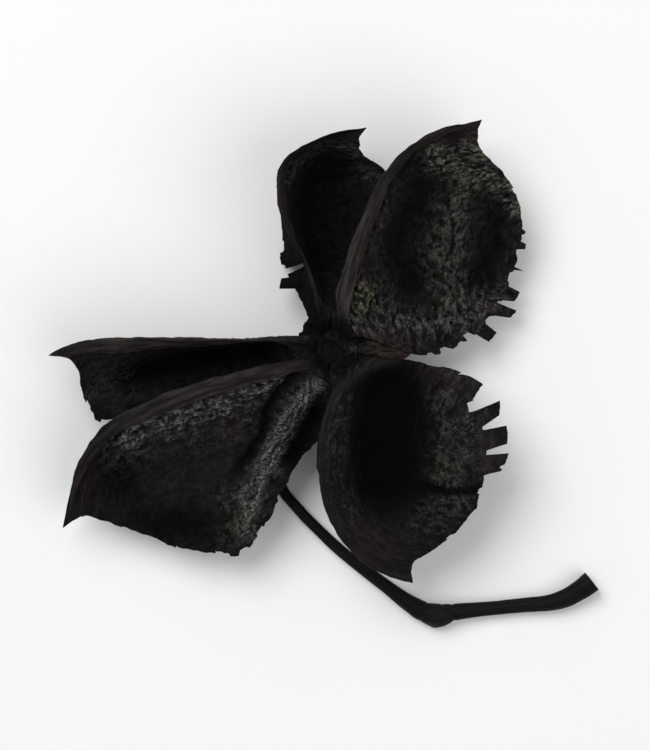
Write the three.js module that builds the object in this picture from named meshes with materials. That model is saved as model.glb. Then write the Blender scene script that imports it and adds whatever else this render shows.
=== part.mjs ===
// Empty cotton boll (bur), dried and open: five woody valves that have folded back
// from one receptacle, and the curved stem that the boll hung on.
// Millimetres, +Z up. The boll lies on a flat surface with its open face up.
//
// Each valve is a thin, keeled leaf. A smooth crest (the partition line) runs from the
// receptacle to a hooked tip. On one side of the crest lies the broad half, a shallow
// pocket that faces up; on the other side the narrow half drops steeply to the surface.
import * as THREE from "three";

// ---------------------------------------------------------------- driving dimensions
const PLAN = 0.43; // mm per plan unit: the tables below give plan positions in these units
const CENTRE = [344.349, 261.621]; // plan position of the origin, the middle of the footprint
const LIFT = 0.028; // sets the lowest margin on the surface, mm
const WALL = 1.15; // wall thickness in the middle of a valve, mm
const WALL_EDGE = 0.62; // wall thickness at the torn margins, mm
const TAPER = 0.15; // most of a half's width that its wall may take, towards the tip and the receptacle
const GAP = 0.3; // clearance between neighbouring pieces, mm
const ROWS = 20; // steps along a valve
const COLS = 14; // steps across a valve
const HUB = [348, 251]; // plan position of the receptacle's axis
const HUB_TOP = 16.6; // height of the receptacle's boss, mm
const HUB_BOTTOM = 9.4; // height of the stem's seat, mm
const HUB_R = 3.35; // radius of the receptacle's boss, mm
const CUP_R = 7.1; // radius of the flared cup under the valves, mm
const CUP_RIM = 13.1; // height of the cup's rim, mm

// A valve's stations run from the receptacle to the tip. Each row holds
//   crest x, y, z | broad half's margin x, y, z | narrow half's margin x, y, z | sag of each half
// with x and y in plan units (y down the plan), z and sag in mm.
const VALVES = {
  valve_upper_left: {
    colour: 0x1b1817,
    rows: [
      [343.0, 240.8, 17.0, 345.2, 239.8, 16.4, 339.8, 243.2, 16.2, 0.2, 0.1],
      [340.6, 229.5, 19.4, 348.2, 228.0, 14.6, 334.8, 235.0, 13.4, 1.6, 0.3],
      [336.8, 216.5, 21.4, 352.0, 214.5, 12.6, 329.4, 225.6, 5.8, 3.4, 0.8],
      [331.8, 204.0, 22.4, 357.0, 201.5, 12.0, 327.0, 213.0, 0.74, 5.2, 1.2],
      [327.6, 192.5, 22.2, 362.0, 190.0, 12.2, 326.6, 200.0, 0.54, 6.0, 1.2],
      [328.4, 181.2, 20.6, 364.2, 182.4, 12.8, 328.8, 185.0, 4.4, 5.0, 0.6],
      [336.8, 173.0, 18.2, 358.8, 175.6, 13.4, 336.2, 173.4, 11.8, 2.0, 0.0],
      [349.4, 167.6, 15.8, 357.2, 170.6, 14.2, 349.2, 167.7, 14.5, 0.5, 0.0],
    ],
    tip: [360.5, 165.6, 14.2],
  },
  valve_upper_right: {
    colour: 0x1d1a18,
    rows: [
      [349.6, 239.4, 17.5, 358.6, 246.8, 16.4, 346.9, 239.9, 16.4, 0.3, 0.1],
      [349.8, 229.8, 19.6, 379.0, 254.0, 12.2, 348.8, 230.6, 13.6, 1.6, 0.6],
      [352.8, 219.8, 21.6, 395.5, 250.4, 8.4, 354.0, 221.6, 6.0, 3.0, 1.6],
      [356.4, 209.3, 23.0, 409.0, 239.4, 6.6, 360.2, 212.4, 0.55, 4.0, 2.2],
      [360.8, 198.0, 23.6, 416.2, 227.0, 6.6, 366.4, 201.8, 0.25, 4.6, 2.4],
      [364.8, 188.8, 23.6, 420.4, 211.0, 7.6, 371.6, 193.0, 0.25, 4.8, 2.4],
      [370.4, 181.0, 22.8, 420.6, 195.5, 9.0, 377.2, 185.6, 3.0, 4.6, 2.0],
      [378.4, 173.2, 21.0, 413.8, 183.2, 10.8, 380.6, 175.0, 9.0, 3.4, 0.6],
      [389.8, 166.8, 18.2, 404.4, 173.6, 12.8, 390.0, 167.4, 13.6, 1.2, 0.1],
      [399.2, 164.2, 15.8, 403.6, 167.2, 14.0, 399.2, 164.4, 14.4, 0.3, 0.0],
    ],
    tip: [405.4, 162.4, 14.0],
  },
  valve_left: {
    colour: 0x1a1716,
    rows: [
      [336.6, 249.6, 17.2, 336.8, 251.2, 16.4, 337.6, 246.4, 16.2, 0.1, 0.1],
      [326.0, 248.4, 19.4, 326.6, 253.2, 14.6, 327.6, 246.6, 13.4, 0.5, 0.3],
      [312.0, 248.0, 20.6, 310.6, 257.4, 11.6, 313.4, 247.2, 5.6, 1.4, 0.8],
      [296.0, 247.8, 20.8, 293.6, 263.0, 9.8, 297.6, 247.8, 0.58, 2.4, 1.2],
      [281.0, 247.6, 19.8, 275.4, 270.4, 8.6, 282.0, 248.2, 0.38, 3.2, 1.2],
      [267.0, 247.8, 18.0, 257.6, 278.6, 7.6, 268.2, 248.8, 2.2, 3.4, 1.0],
      [255.0, 248.4, 15.8, 250.2, 271.0, 8.4, 256.8, 249.4, 6.2, 2.4, 0.6],
      [246.6, 249.6, 13.6, 248.2, 261.0, 9.6, 248.0, 250.4, 9.4, 0.9, 0.3],
      [241.0, 251.4, 12.0, 243.8, 255.2, 10.6, 241.3, 251.6, 10.8, 0.1, 0.0],
    ],
    tip: [236.4, 254.0, 10.4],
  },
  valve_lower_left: {
    colour: 0x1c1918,
    rows: [
      [337.4, 255.6, 17.2, 343.0, 261.8, 16.4, 336.8, 253.4, 16.2, 0.2, 0.1],
      [326.0, 257.6, 19.6, 343.0, 275.0, 13.2, 327.2, 257.4, 13.6, 0.9, 0.6],
      [313.0, 260.4, 21.2, 338.4, 289.0, 11.2, 315.4, 261.6, 5.8, 1.8, 1.6],
      [300.0, 264.0, 21.8, 329.6, 302.4, 9.8, 304.0, 267.0, 0.59, 2.8, 2.2],
      [287.0, 268.0, 21.4, 320.6, 320.5, 9.0, 292.0, 272.2, 0.29, 3.6, 2.4],
      [274.4, 273.8, 20.0, 308.6, 331.0, 8.2, 280.4, 278.6, 1.6, 4.0, 2.2],
      [262.2, 279.8, 18.0, 290.0, 329.8, 7.4, 268.4, 285.0, 4.6, 3.8, 1.6],
      [253.2, 288.8, 15.4, 272.8, 323.8, 7.2, 258.4, 293.0, 7.2, 2.6, 1.0],
      [247.4, 299.4, 12.6, 257.4, 318.6, 7.6, 248.2, 300.2, 9.4, 1.0, 0.1],
      [244.4, 310.6, 10.2, 248.8, 317.2, 8.2, 244.5, 310.7, 9.1, 0.2, 0.0],
    ],
    tip: [241.6, 321.6, 7.6],
  },
  valve_lower_right: {
    colour: 0x1a1717,
    rows: [
      [351.0, 262.6, 17.0, 360.0, 254.4, 16.4, 345.6, 262.4, 16.2, 0.2, 0.1],
      [346.6, 271.6, 19.6, 381.0, 257.0, 13.6, 344.4, 271.4, 13.4, 2.0, 0.4],
      [343.6, 281.6, 21.2, 397.4, 262.8, 13.0, 343.6, 282.6, 6.0, 5.2, 1.0],
      [342.5, 292.4, 22.0, 403.4, 276.0, 13.4, 345.6, 294.4, 0.66, 7.6, 1.6],
      [343.0, 303.6, 21.8, 406.0, 290.0, 13.8, 349.4, 305.8, 0.36, 8.4, 2.0],
      [345.6, 314.6, 20.6, 405.0, 303.4, 13.8, 354.8, 316.4, 2.6, 7.6, 1.8],
      [351.0, 325.2, 18.2, 399.6, 317.4, 13.2, 361.4, 326.6, 6.4, 5.4, 1.2],
      [359.8, 334.4, 15.0, 387.8, 328.8, 12.0, 367.4, 334.6, 8.2, 2.8, 0.7],
      [369.8, 340.4, 11.8, 378.6, 335.2, 10.6, 373.4, 339.8, 9.0, 0.6, 0.2],
    ],
    tip: [378.7, 343.0, 9.0],
  },
};

// The stem's centre line (plan x, y, height) and radius: thin at the boll, swollen at the
// old leaf joint, then on to the flared scar where it broke from the plant.
const STEM = [
  [348.0, 251.0, 9.3, 1.8],
  [347.7, 251.6, 8.1, 1.5],
  [345.4, 255.6, 6.9, 1.2],
  [341.0, 263.6, 6.0, 1.06],
  [335.2, 274.6, 5.2, 0.98],
  [329.2, 286.6, 4.0, 0.92],
  [326.2, 296.6, 3.1, 0.9],
  [327.6, 306.6, 2.4, 0.9],
  [334.0, 314.8, 1.9, 0.92],
  [342.6, 323.8, 1.5, 0.95],
  [351.6, 332.0, 1.3, 0.98],
  [360.2, 338.8, 1.3, 1.02],
  [368.6, 345.2, 1.4, 1.12],
  [376.4, 351.0, 1.6, 1.38],
  [383.4, 355.2, 1.8, 1.72],
  [389.2, 356.4, 2.01, 2.0],
  [395.4, 355.4, 1.8, 1.45],
  [404.4, 354.4, 1.5, 1.22],
  [413.6, 353.6, 1.4, 1.18],
  [423.0, 352.6, 1.4, 1.22],
  [432.2, 351.8, 1.6, 1.34],
  [438.8, 350.0, 1.8, 1.5],
  [445.2, 346.6, 2.0, 1.66],
  [449.8, 343.0, 2.1, 1.8],
];
const STEM_SIDES = 10;

// ---------------------------------------------------------------- helpers
const place = (x, y, z) => new THREE.Vector3((x - CENTRE[0]) * PLAN, (CENTRE[1] - y) * PLAN, z + LIFT);

const curve = (points) => new THREE.CatmullRomCurve3(points, false, "catmullrom", 0.5);

function solid(points, faces) {
  const g = new THREE.BufferGeometry();
  g.setAttribute("position", new THREE.Float32BufferAttribute(points.flatMap((p) => [p.x, p.y, p.z]), 3));
  g.setIndex(faces.flat());
  g.computeVertexNormals();
  return g;
}

function mesh(name, geometry, colour, roughness) {
  const m = new THREE.Mesh(geometry, new THREE.MeshStandardMaterial({ color: colour, roughness, metalness: 0 }));
  m.name = name;
  return m;
}

// The five long curves of a valve: narrow margin, narrow half's middle, crest, broad half's middle, broad margin.
function longCurves({ rows, tip }) {
  const end = place(...tip);
  const lines = [[], [], [], [], []];
  for (const r of rows) {
    const crest = place(r[0], r[1], r[2]);
    const broad = place(r[3], r[4], r[5]);
    const narrow = place(r[6], r[7], r[8]);
    const across = broad.clone().sub(crest).setZ(0).normalize();
    lines[0].push(narrow);
    lines[1].push(crest.clone().lerp(narrow, 0.5).addScaledVector(across, r[10]));
    lines[2].push(crest);
    lines[3].push(crest.clone().lerp(broad, 0.5).add(new THREE.Vector3(0, 0, -r[9])));
    lines[4].push(broad);
  }
  for (const l of lines) l.push(end);
  return lines.map(curve);
}

// One half of a valve across its width, from the crest to the margin: its length, and the place
// and normal at a distance from the crest.
function halfSection(at, normalAt, u, side) {
  const steps = 40;
  const marks = [];
  for (let k = 0; k <= steps; k++) {
    const v = 0.5 + (side * k) / (2 * steps);
    const p = at(u, v);
    marks.push({ p, n: normalAt(u, v), far: k ? marks[k - 1].far + p.distanceTo(marks[k - 1].p) : 0 });
  }
  const length = marks[steps].far;
  const find = (far) => {
    let k = 1;
    while (k < steps && marks[k].far < far) k++;
    const [m, o] = [marks[k - 1], marks[k]];
    const t = Math.min(1, Math.max(0, (far - m.far) / (o.far - m.far)));
    return { p: m.p.clone().lerp(o.p, t), n: m.n.clone().lerp(o.n, t).normalize() };
  };
  const behind = (far, wall) => {
    const { p, n } = find(far);
    const edge = Math.max(0, far / length - 0.7) / 0.3;
    return p.addScaledVector(n, -wall * (1 - (1 - WALL_EDGE / WALL) * edge));
  };
  return { length, find, behind };
}

// How far from the crest the two halves' walls part: nearer to it the fold is solid. Nothing if
// walls this thick never part.
function parting(narrow, broad, crest, wall) {
  const steps = 36;
  const reach = Math.min(narrow.length, broad.length);
  let far = 0;
  for (let k = 1; k <= steps; k++) {
    const d = (k / steps) * reach;
    const across = broad.find(d).p.sub(narrow.find(d).p).projectOnPlane(crest).normalize();
    if (broad.behind(d, wall).sub(narrow.behind(d, wall)).dot(across) < 0.15 * wall) far = d;
  }
  return far < 0.6 * reach ? far : undefined;
}

// A closed shell: the valve's inner face, and its outer face one wall thickness behind it. The wall
// fills the fold under the crest and thins out with the valve towards the tip.
function valveShell(valve) {
  const lines = longCurves(valve);
  const n = valve.rows.length;
  const last = (n - 0.3) / n; // the last full row, just short of the tip
  const at = (u, v) => curve(lines.map((l) => l.getPoint(Math.min(1, Math.max(0, u))))).getPoint(Math.min(1, Math.max(0, v)));
  const normalAt = (u, v) => {
    const e = 1e-3;
    const du = at(u + e, v).sub(at(u - e, v));
    const dv = at(u, v + e).sub(at(u, v - e));
    return du.cross(dv).normalize().multiplyScalar(valve.flip ? -1 : 1);
  };
  const half = COLS / 2;
  const top = [];
  const bottom = [];
  for (let i = 0; i <= ROWS; i++) {
    const u = (i / ROWS) * last;
    const narrow = halfSection(at, normalAt, u, -1);
    const broad = halfSection(at, normalAt, u, 1);
    const crest = at(u + 1e-3, 0.5).sub(at(u - 1e-3, 0.5)).normalize();
    let wall = Math.min(WALL, TAPER * Math.min(narrow.length, broad.length));
    while (parting(narrow, broad, crest, wall) === undefined && wall > 0.1) wall *= 0.92;
    const far = parting(narrow, broad, crest, wall) ?? 0;
    const along = (side, k) => side.behind(far + (side.length - far) * (k / half), wall);
    for (let j = 0; j <= COLS; j++) top.push(at(u, j / COLS));
    for (let k = half; k > 0; k--) bottom.push(along(narrow, k));
    bottom.push(along(narrow, 0).lerp(along(broad, 0), 0.5));
    for (let k = 1; k <= half; k++) bottom.push(along(broad, k));
  }
  const points = [...top, ...bottom];
  const w = COLS + 1;
  const off = top.length;
  const apex = points.push(place(...valve.tip)) - 1;
  const faces = [];
  const quad = (a, b, c, d) => faces.push([a, b, c], [a, c, d]);
  for (let i = 0; i < ROWS; i++)
    for (let j = 0; j < COLS; j++) {
      const a = i * w + j;
      quad(a, a + w, a + w + 1, a + 1);
      quad(off + a, off + a + 1, off + a + w + 1, off + a + w);
    }
  for (let i = 0; i < ROWS; i++) {
    const a = i * w;
    quad(a, off + a, off + a + w, a + w);
    const b = i * w + COLS;
    quad(b, b + w, off + b + w, off + b);
  }
  for (let j = 0; j < COLS; j++) {
    quad(j, j + 1, off + j + 1, off + j);
    const a = ROWS * w + j;
    faces.push([a, apex, a + 1], [off + a, off + a + 1, apex]);
  }
  const a = ROWS * w;
  const b = ROWS * w + COLS;
  faces.push([a, off + a, apex], [b, apex, off + b]);
  return solid(points, valve.flip ? faces.map(([x, y, z]) => [x, z, y]) : faces);
}

// A tube of changing radius along a curve, closed at both ends.
function stemSolid() {
  const line = curve(STEM.map(([x, y, z]) => place(x, y, z)));
  const radius = curve(STEM.map((s) => new THREE.Vector3(s[3], 0, 0)));
  const steps = 54;
  const points = [];
  const faces = [];
  let side = new THREE.Vector3(1, 0, 0);
  for (let i = 0; i <= steps; i++) {
    const t = i / steps;
    const c = line.getPoint(t);
    const along = line.getTangent(t);
    side = side.sub(along.clone().multiplyScalar(side.dot(along))).normalize();
    const up = along.clone().cross(side);
    const r = radius.getPoint(t).x;
    for (let k = 0; k < STEM_SIDES; k++) {
      const a = (2 * Math.PI * k) / STEM_SIDES;
      points.push(c.clone().addScaledVector(side, r * Math.cos(a)).addScaledVector(up, r * Math.sin(a)));
    }
  }
  for (let i = 0; i < steps; i++)
    for (let k = 0; k < STEM_SIDES; k++) {
      const a = i * STEM_SIDES + k;
      const b = i * STEM_SIDES + ((k + 1) % STEM_SIDES);
      faces.push([a, b, b + STEM_SIDES], [a, b + STEM_SIDES, a + STEM_SIDES]);
    }
  const first = points.push(line.getPoint(0)) - 1;
  const lastPoint = points.push(line.getPoint(1)) - 1;
  for (let k = 0; k < STEM_SIDES; k++) {
    const k2 = (k + 1) % STEM_SIDES;
    faces.push([first, k2, k]);
    faces.push([lastPoint, steps * STEM_SIDES + k, steps * STEM_SIDES + k2]);
  }
  return solid(points, faces);
}

// The receptacle: the boll's woody base, a flared cup that the valves grow from.
function receptacleSolid() {
  const profile = [
    [0, HUB_BOTTOM + GAP],
    [2.0, HUB_BOTTOM + GAP],
    [2.7, HUB_BOTTOM + 0.9],
    [4.6, HUB_BOTTOM + 1.9],
    [CUP_R - 0.2, CUP_RIM - 1.0],
    [CUP_R, CUP_RIM - 0.3],
    [CUP_R - 0.5, CUP_RIM],
    [HUB_R + 0.5, CUP_RIM - 0.9],
    [HUB_R, CUP_RIM + 0.1],
    [HUB_R, HUB_TOP - 0.6],
    [HUB_R - 0.7, HUB_TOP],
    [2.2, HUB_TOP - 0.9],
    [0, HUB_TOP - 1.5],
  ].map(([r, z]) => new THREE.Vector2(r, z));
  const g = new THREE.LatheGeometry(profile, 30);
  g.rotateX(Math.PI / 2);
  const p = place(HUB[0], HUB[1], 0);
  g.translate(p.x, p.y, p.z);
  return g;
}

// ---------------------------------------------------------------- assembly
const boll = new THREE.Group();
boll.name = "cotton_boll";

const FLIPPED = ["valve_upper_left", "valve_upper_right"];
for (const name of FLIPPED) VALVES[name].flip = true;

for (const [name, valve] of Object.entries(VALVES)) boll.add(mesh(name, valveShell(valve), valve.colour, 0.75));
boll.add(mesh("receptacle", receptacleSolid(), 0x1f1a18, 0.8));
boll.add(mesh("stem", stemSolid(), 0x211d1a, 0.7));

export default boll;
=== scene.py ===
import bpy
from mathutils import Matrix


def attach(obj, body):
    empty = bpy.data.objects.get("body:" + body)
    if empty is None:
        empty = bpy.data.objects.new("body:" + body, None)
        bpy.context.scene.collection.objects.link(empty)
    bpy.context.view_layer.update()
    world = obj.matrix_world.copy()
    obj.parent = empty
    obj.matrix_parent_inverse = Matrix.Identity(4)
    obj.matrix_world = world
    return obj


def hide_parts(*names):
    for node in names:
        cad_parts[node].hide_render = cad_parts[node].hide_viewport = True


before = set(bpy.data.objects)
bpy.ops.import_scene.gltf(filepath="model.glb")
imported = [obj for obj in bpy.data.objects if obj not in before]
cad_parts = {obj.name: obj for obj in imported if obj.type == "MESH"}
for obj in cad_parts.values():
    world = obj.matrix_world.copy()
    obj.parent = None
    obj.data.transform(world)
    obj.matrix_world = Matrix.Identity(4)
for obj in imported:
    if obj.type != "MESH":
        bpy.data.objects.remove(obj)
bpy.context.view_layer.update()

# Looks of a dried, open and empty cotton boll that was dyed black: five keeled valves with torn,
# comb-toothed margins and fibrous insides, the receptacle they grow from, and the bent stem.
# All shaping is worked out in millimetres and written to the meshes in metres.
import math

import bpy
import numpy as np

MM = 0.001
PLAN = 0.43  # mm per plan unit
CENTRE = (344.349, 261.621)  # plan position of the origin
LIFT = 0.028
HUB = (348.0, 251.0)  # plan position of the receptacle's axis
WALL, WALL_EDGE = 1.15, 0.45

# ------------------------------------------------------------------ the boll's lines
# Stations from the receptacle to the tip: crest x, y, z | broad margin x, y, z | narrow margin x, y, z | sag of each half
VALVES = {
    "valve_upper_left": {
        "flip": True,
        "rows": [
            [343.0, 240.8, 17.0, 345.2, 239.8, 16.4, 339.8, 243.2, 16.2, 0.2, 0.1],
            [340.6, 229.5, 19.4, 348.2, 228.0, 14.6, 334.9, 232.0, 10.6, 1.6, 0.6],
            [336.4, 216.5, 21.4, 352.0, 214.5, 12.6, 328.9, 219.6, 3.6, 3.4, 1.2],
            [329.9, 204.4, 22.4, 357.0, 201.5, 12.0, 327.6, 208.6, 0.9, 5.2, 1.0],
            [326.8, 191.8, 22.2, 362.0, 190.0, 12.2, 327.0, 196.5, 0.8, 6.0, 1.0],
            [328.2, 180.6, 20.6, 364.2, 182.4, 12.8, 328.8, 185.0, 4.4, 5.0, 0.6],
            [336.8, 173.0, 18.2, 358.8, 175.6, 13.4, 336.2, 173.4, 11.8, 2.0, 0.0],
            [349.4, 167.6, 15.8, 357.2, 170.6, 14.2, 349.2, 167.7, 14.5, 0.5, 0.0],
        ],
        "tip": [360.5, 165.6, 14.2],
    },
    "valve_upper_right": {
        "flip": True,
        "rows": [
            [349.6, 239.4, 17.5, 358.6, 246.8, 16.4, 346.9, 239.9, 16.4, 0.3, 0.1],
            [349.8, 229.8, 19.6, 379.0, 254.0, 12.2, 348.8, 230.6, 13.6, 1.6, 0.6],
            [352.8, 219.8, 21.6, 395.5, 250.4, 8.4, 354.0, 221.6, 6.0, 3.0, 1.6],
            [356.4, 209.3, 23.0, 409.0, 239.4, 6.6, 360.2, 212.4, 0.55, 4.0, 2.2],
            [360.8, 198.0, 23.6, 416.2, 227.0, 6.6, 366.4, 201.8, 0.25, 4.6, 2.4],
            [364.8, 188.8, 23.6, 420.4, 211.0, 7.6, 371.6, 193.0, 0.25, 4.8, 2.4],
            [370.4, 181.0, 22.8, 420.6, 195.5, 9.0, 377.2, 185.6, 3.0, 4.6, 2.0],
            [378.4, 173.2, 21.0, 413.8, 183.2, 10.8, 380.6, 175.0, 9.0, 3.4, 0.6],
            [389.8, 166.8, 18.2, 404.4, 173.6, 12.8, 390.0, 167.4, 13.6, 1.2, 0.1],
            [399.2, 164.2, 15.8, 403.6, 167.2, 14.0, 399.2, 164.4, 14.4, 0.3, 0.0],
        ],
        "tip": [405.4, 162.4, 14.0],
    },
    "valve_left": {
        "flip": False,
        "rows": [
            [336.6, 249.6, 17.2, 336.8, 251.2, 16.4, 337.6, 246.4, 16.2, 0.1, 0.1],
            [326.0, 248.4, 19.4, 326.6, 253.2, 14.6, 327.6, 246.6, 13.4, 0.5, 0.3],
            [312.0, 248.0, 20.6, 310.6, 257.4, 11.6, 313.4, 247.2, 5.6, 1.4, 0.8],
            [296.0, 247.8, 20.8, 293.6, 263.0, 9.8, 297.6, 247.8, 0.58, 2.4, 1.2],
            [281.0, 247.6, 19.8, 275.4, 270.4, 8.6, 282.0, 248.2, 0.38, 3.2, 1.2],
            [267.0, 247.8, 18.0, 257.6, 278.6, 7.6, 268.2, 248.8, 2.2, 3.4, 1.0],
            [255.0, 248.4, 15.8, 250.2, 271.0, 8.4, 256.8, 249.4, 6.2, 2.4, 0.6],
            [246.6, 249.6, 13.6, 248.2, 261.0, 9.6, 248.0, 250.4, 9.4, 0.9, 0.3],
            [241.0, 251.4, 12.0, 243.8, 255.2, 10.6, 241.3, 251.6, 10.8, 0.1, 0.0],
        ],
        "tip": [236.4, 254.0, 10.4],
    },
    "valve_lower_left": {
        "flip": False,
        "rows": [
            [337.4, 255.6, 17.2, 343.0, 261.8, 16.4, 336.8, 253.4, 16.2, 0.2, 0.1],
            [326.0, 257.6, 19.6, 343.0, 275.0, 13.2, 327.2, 257.4, 13.6, 0.9, 0.6],
            [313.0, 260.4, 21.2, 338.4, 289.0, 11.2, 315.4, 261.6, 5.8, 1.8, 1.6],
            [300.0, 264.0, 21.8, 329.6, 302.4, 9.8, 304.0, 267.0, 0.59, 2.8, 2.2],
            [287.0, 268.0, 21.4, 320.6, 320.5, 9.0, 292.0, 272.2, 0.29, 3.6, 2.4],
            [274.4, 273.8, 20.0, 308.6, 331.0, 8.2, 280.4, 278.6, 1.6, 4.0, 2.2],
            [262.2, 279.8, 18.0, 290.0, 329.8, 7.4, 268.4, 285.0, 4.6, 3.8, 1.6],
            [253.2, 288.8, 15.4, 272.8, 323.8, 7.2, 258.4, 293.0, 7.2, 2.6, 1.0],
            [247.4, 299.4, 12.6, 257.4, 318.6, 7.6, 248.2, 300.2, 9.4, 1.0, 0.1],
            [244.4, 310.6, 10.2, 248.8, 317.2, 8.2, 244.5, 310.7, 9.1, 0.2, 0.0],
        ],
        "tip": [241.6, 321.6, 7.6],
    },
    "valve_lower_right": {
        "flip": False,
        "rows": [
            [351.0, 262.6, 17.0, 360.0, 254.4, 16.4, 345.6, 262.4, 16.2, 0.2, 0.1],
            [346.6, 271.6, 19.6, 381.0, 257.0, 13.6, 344.4, 271.4, 13.4, 2.0, 0.4],
            [343.6, 281.6, 21.2, 397.4, 262.8, 13.0, 343.6, 282.6, 6.0, 5.2, 1.0],
            [342.5, 292.4, 22.0, 403.4, 276.0, 13.4, 345.6, 294.4, 0.66, 7.6, 1.6],
            [343.0, 303.6, 21.8, 406.0, 290.0, 13.8, 349.4, 305.8, 0.36, 8.4, 2.0],
            [345.6, 314.6, 20.6, 405.0, 303.4, 13.8, 354.8, 316.4, 2.6, 7.6, 1.8],
            [351.0, 325.2, 18.2, 399.6, 317.4, 13.2, 361.4, 326.6, 6.4, 5.4, 1.2],
            [359.8, 334.4, 15.0, 387.8, 328.8, 12.0, 367.4, 334.6, 8.2, 2.8, 0.7],
            [369.8, 340.4, 11.8, 378.6, 335.2, 10.6, 373.4, 339.8, 9.0, 0.6, 0.2],
        ],
        "tip": [378.7, 343.0, 9.0],
    },
}
STEM = [
    [348.2, 250.6, 11.6, 2.3], [348.0, 251.0, 10.0, 2.05], [347.5, 252.0, 8.4, 1.6], [345.4, 255.6, 6.9, 1.2], [341.0, 263.6, 6.0, 1.06],
    [335.2, 274.6, 5.2, 0.98], [329.2, 286.6, 4.0, 0.92], [326.2, 296.6, 3.1, 0.9], [327.6, 306.6, 2.4, 0.9],
    [334.0, 314.8, 1.9, 0.92], [342.6, 323.8, 1.5, 0.95], [351.6, 332.0, 1.3, 0.98], [360.2, 338.8, 1.3, 1.02],
    [368.6, 345.2, 1.4, 1.12], [376.4, 351.0, 1.6, 1.38], [383.4, 355.2, 1.8, 1.72], [389.2, 356.4, 2.01, 2.0],
    [395.4, 355.4, 1.8, 1.45], [404.4, 354.4, 1.5, 1.22], [413.6, 353.6, 1.4, 1.18], [423.0, 352.6, 1.4, 1.22],
    [432.2, 351.8, 1.6, 1.34], [438.8, 350.0, 1.8, 1.5], [445.2, 346.6, 2.0, 1.66], [449.8, 343.0, 2.1, 1.8],
]


# ------------------------------------------------------------------ maths
def place(x, y, z):
    return np.stack([(np.asarray(x) - CENTRE[0]) * PLAN, (CENTRE[1] - np.asarray(y)) * PLAN, np.asarray(z) + LIFT], -1)


def plan_of(p):
    return p[..., 0] / PLAN + CENTRE[0], CENTRE[1] - p[..., 1] / PLAN


def basis(n, t):
    """Weights of n control points of a uniform Catmull-Rom curve at t, which runs straight on past 0 and 1."""
    t = np.asarray(t, float)
    shape = t.shape
    t = t.ravel()
    tc = np.clip(t, 0, 1)
    p = tc * (n - 1)
    i = np.minimum(p.astype(int), n - 2)
    w = p - i
    h00, h10, h01, h11 = 2 * w**3 - 3 * w**2 + 1, w**3 - 2 * w**2 + w, -2 * w**3 + 3 * w**2, w**3 - w**2
    rows = np.arange(len(t))
    full = np.zeros((len(t), n + 2))
    for k, c in enumerate([-0.5 * h10, h00 - 0.5 * h11, h01 + 0.5 * h10, 0.5 * h11]):
        full[rows, i + k] += c
    out = full[:, 1:-1].copy()
    out[:, 0] += 2 * full[:, 0]
    out[:, 1] -= full[:, 0]
    out[:, -1] += 2 * full[:, -1]
    out[:, -2] -= full[:, -1]
    over, under = np.maximum(t - 1, 0) * (n - 1), np.minimum(t, 0) * (n - 1)
    out[:, -1] += over
    out[:, -2] -= over
    out[:, 1] += under
    out[:, 0] -= under
    return out.reshape(shape + (n,))


def spin(ix, iy, seed):
    h = (ix * 374761393 + iy * 668265263 + seed * 2246822519) & 0xFFFFFFFF
    h = ((h ^ (h >> 13)) * 1274126177) & 0xFFFFFFFF
    h = ((h ^ (h >> 15)) * 2654435761) & 0xFFFFFFFF
    return ((h ^ (h >> 16)) & 0xFFFF) * (2 * math.pi / 65536)


def perlin(x, y, seed):
    """Gradient noise, about -0.7 to 0.7."""
    x, y = np.broadcast_arrays(np.asarray(x, float), np.asarray(y, float))
    ix, iy = np.floor(x).astype(np.int64), np.floor(y).astype(np.int64)
    fx, fy = x - ix, y - iy
    sx, sy = fx**3 * (fx * (fx * 6 - 15) + 10), fy**3 * (fy * (fy * 6 - 15) + 10)

    def corner(a, b):
        g = spin(ix + a, iy + b, seed)
        return np.cos(g) * (fx - a) + np.sin(g) * (fy - b)

    low = corner(0, 0) * (1 - sx) + corner(1, 0) * sx
    high = corner(0, 1) * (1 - sx) + corner(1, 1) * sx
    return low * (1 - sy) + high * sy


def fbm(x, y, seed, octaves=4, gain=0.5):
    total, amp = 0.0, 1.0
    for k in range(octaves):
        total = total + amp * perlin(x * 2**k + 17.3 * k, y * 2**k - 9.1 * k, seed + 31 * k)
        amp *= gain
    return total


def ridged(x, y, seed, octaves=2):
    """Thin worm-like crests, 0 to 1."""
    total, amp, norm = 0.0, 1.0, 0.0
    for k in range(octaves):
        r = 1 - np.clip(np.abs(perlin(x * 2**k + 5.7 * k, y * 2**k + 3.3 * k, seed + 57 * k)) * 2.4, 0, 1)
        total = total + amp * r * r
        norm += amp
        amp *= 0.5
    return total / norm


def step(a, b, x):
    t = np.clip((x - a) / (b - a), 0, 1)
    return t * t * (3 - 2 * t)


def blob(X, Y, cx, cy, rx, ry, turn=0.0):
    c, s = math.cos(math.radians(turn)), math.sin(math.radians(turn))
    dx, dy = X - cx, Y - cy
    return np.exp(-(((dx * c + dy * s) / rx) ** 2) - ((-dx * s + dy * c) / ry) ** 2)


def strip(X, Y, line, width):
    """1 on a broken line of plan points, falling off to its sides over width."""
    best = np.full(X.shape, 1e9)
    for (x0, y0), (x1, y1) in zip(line[:-1], line[1:]):
        dx, dy = x1 - x0, y1 - y0
        t = np.clip(((X - x0) * dx + (Y - y0) * dy) / (dx * dx + dy * dy), 0, 1)
        best = np.minimum(best, (X - x0 - t * dx) ** 2 + (Y - y0 - t * dy) ** 2)
    return np.exp(-best / width**2)


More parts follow.
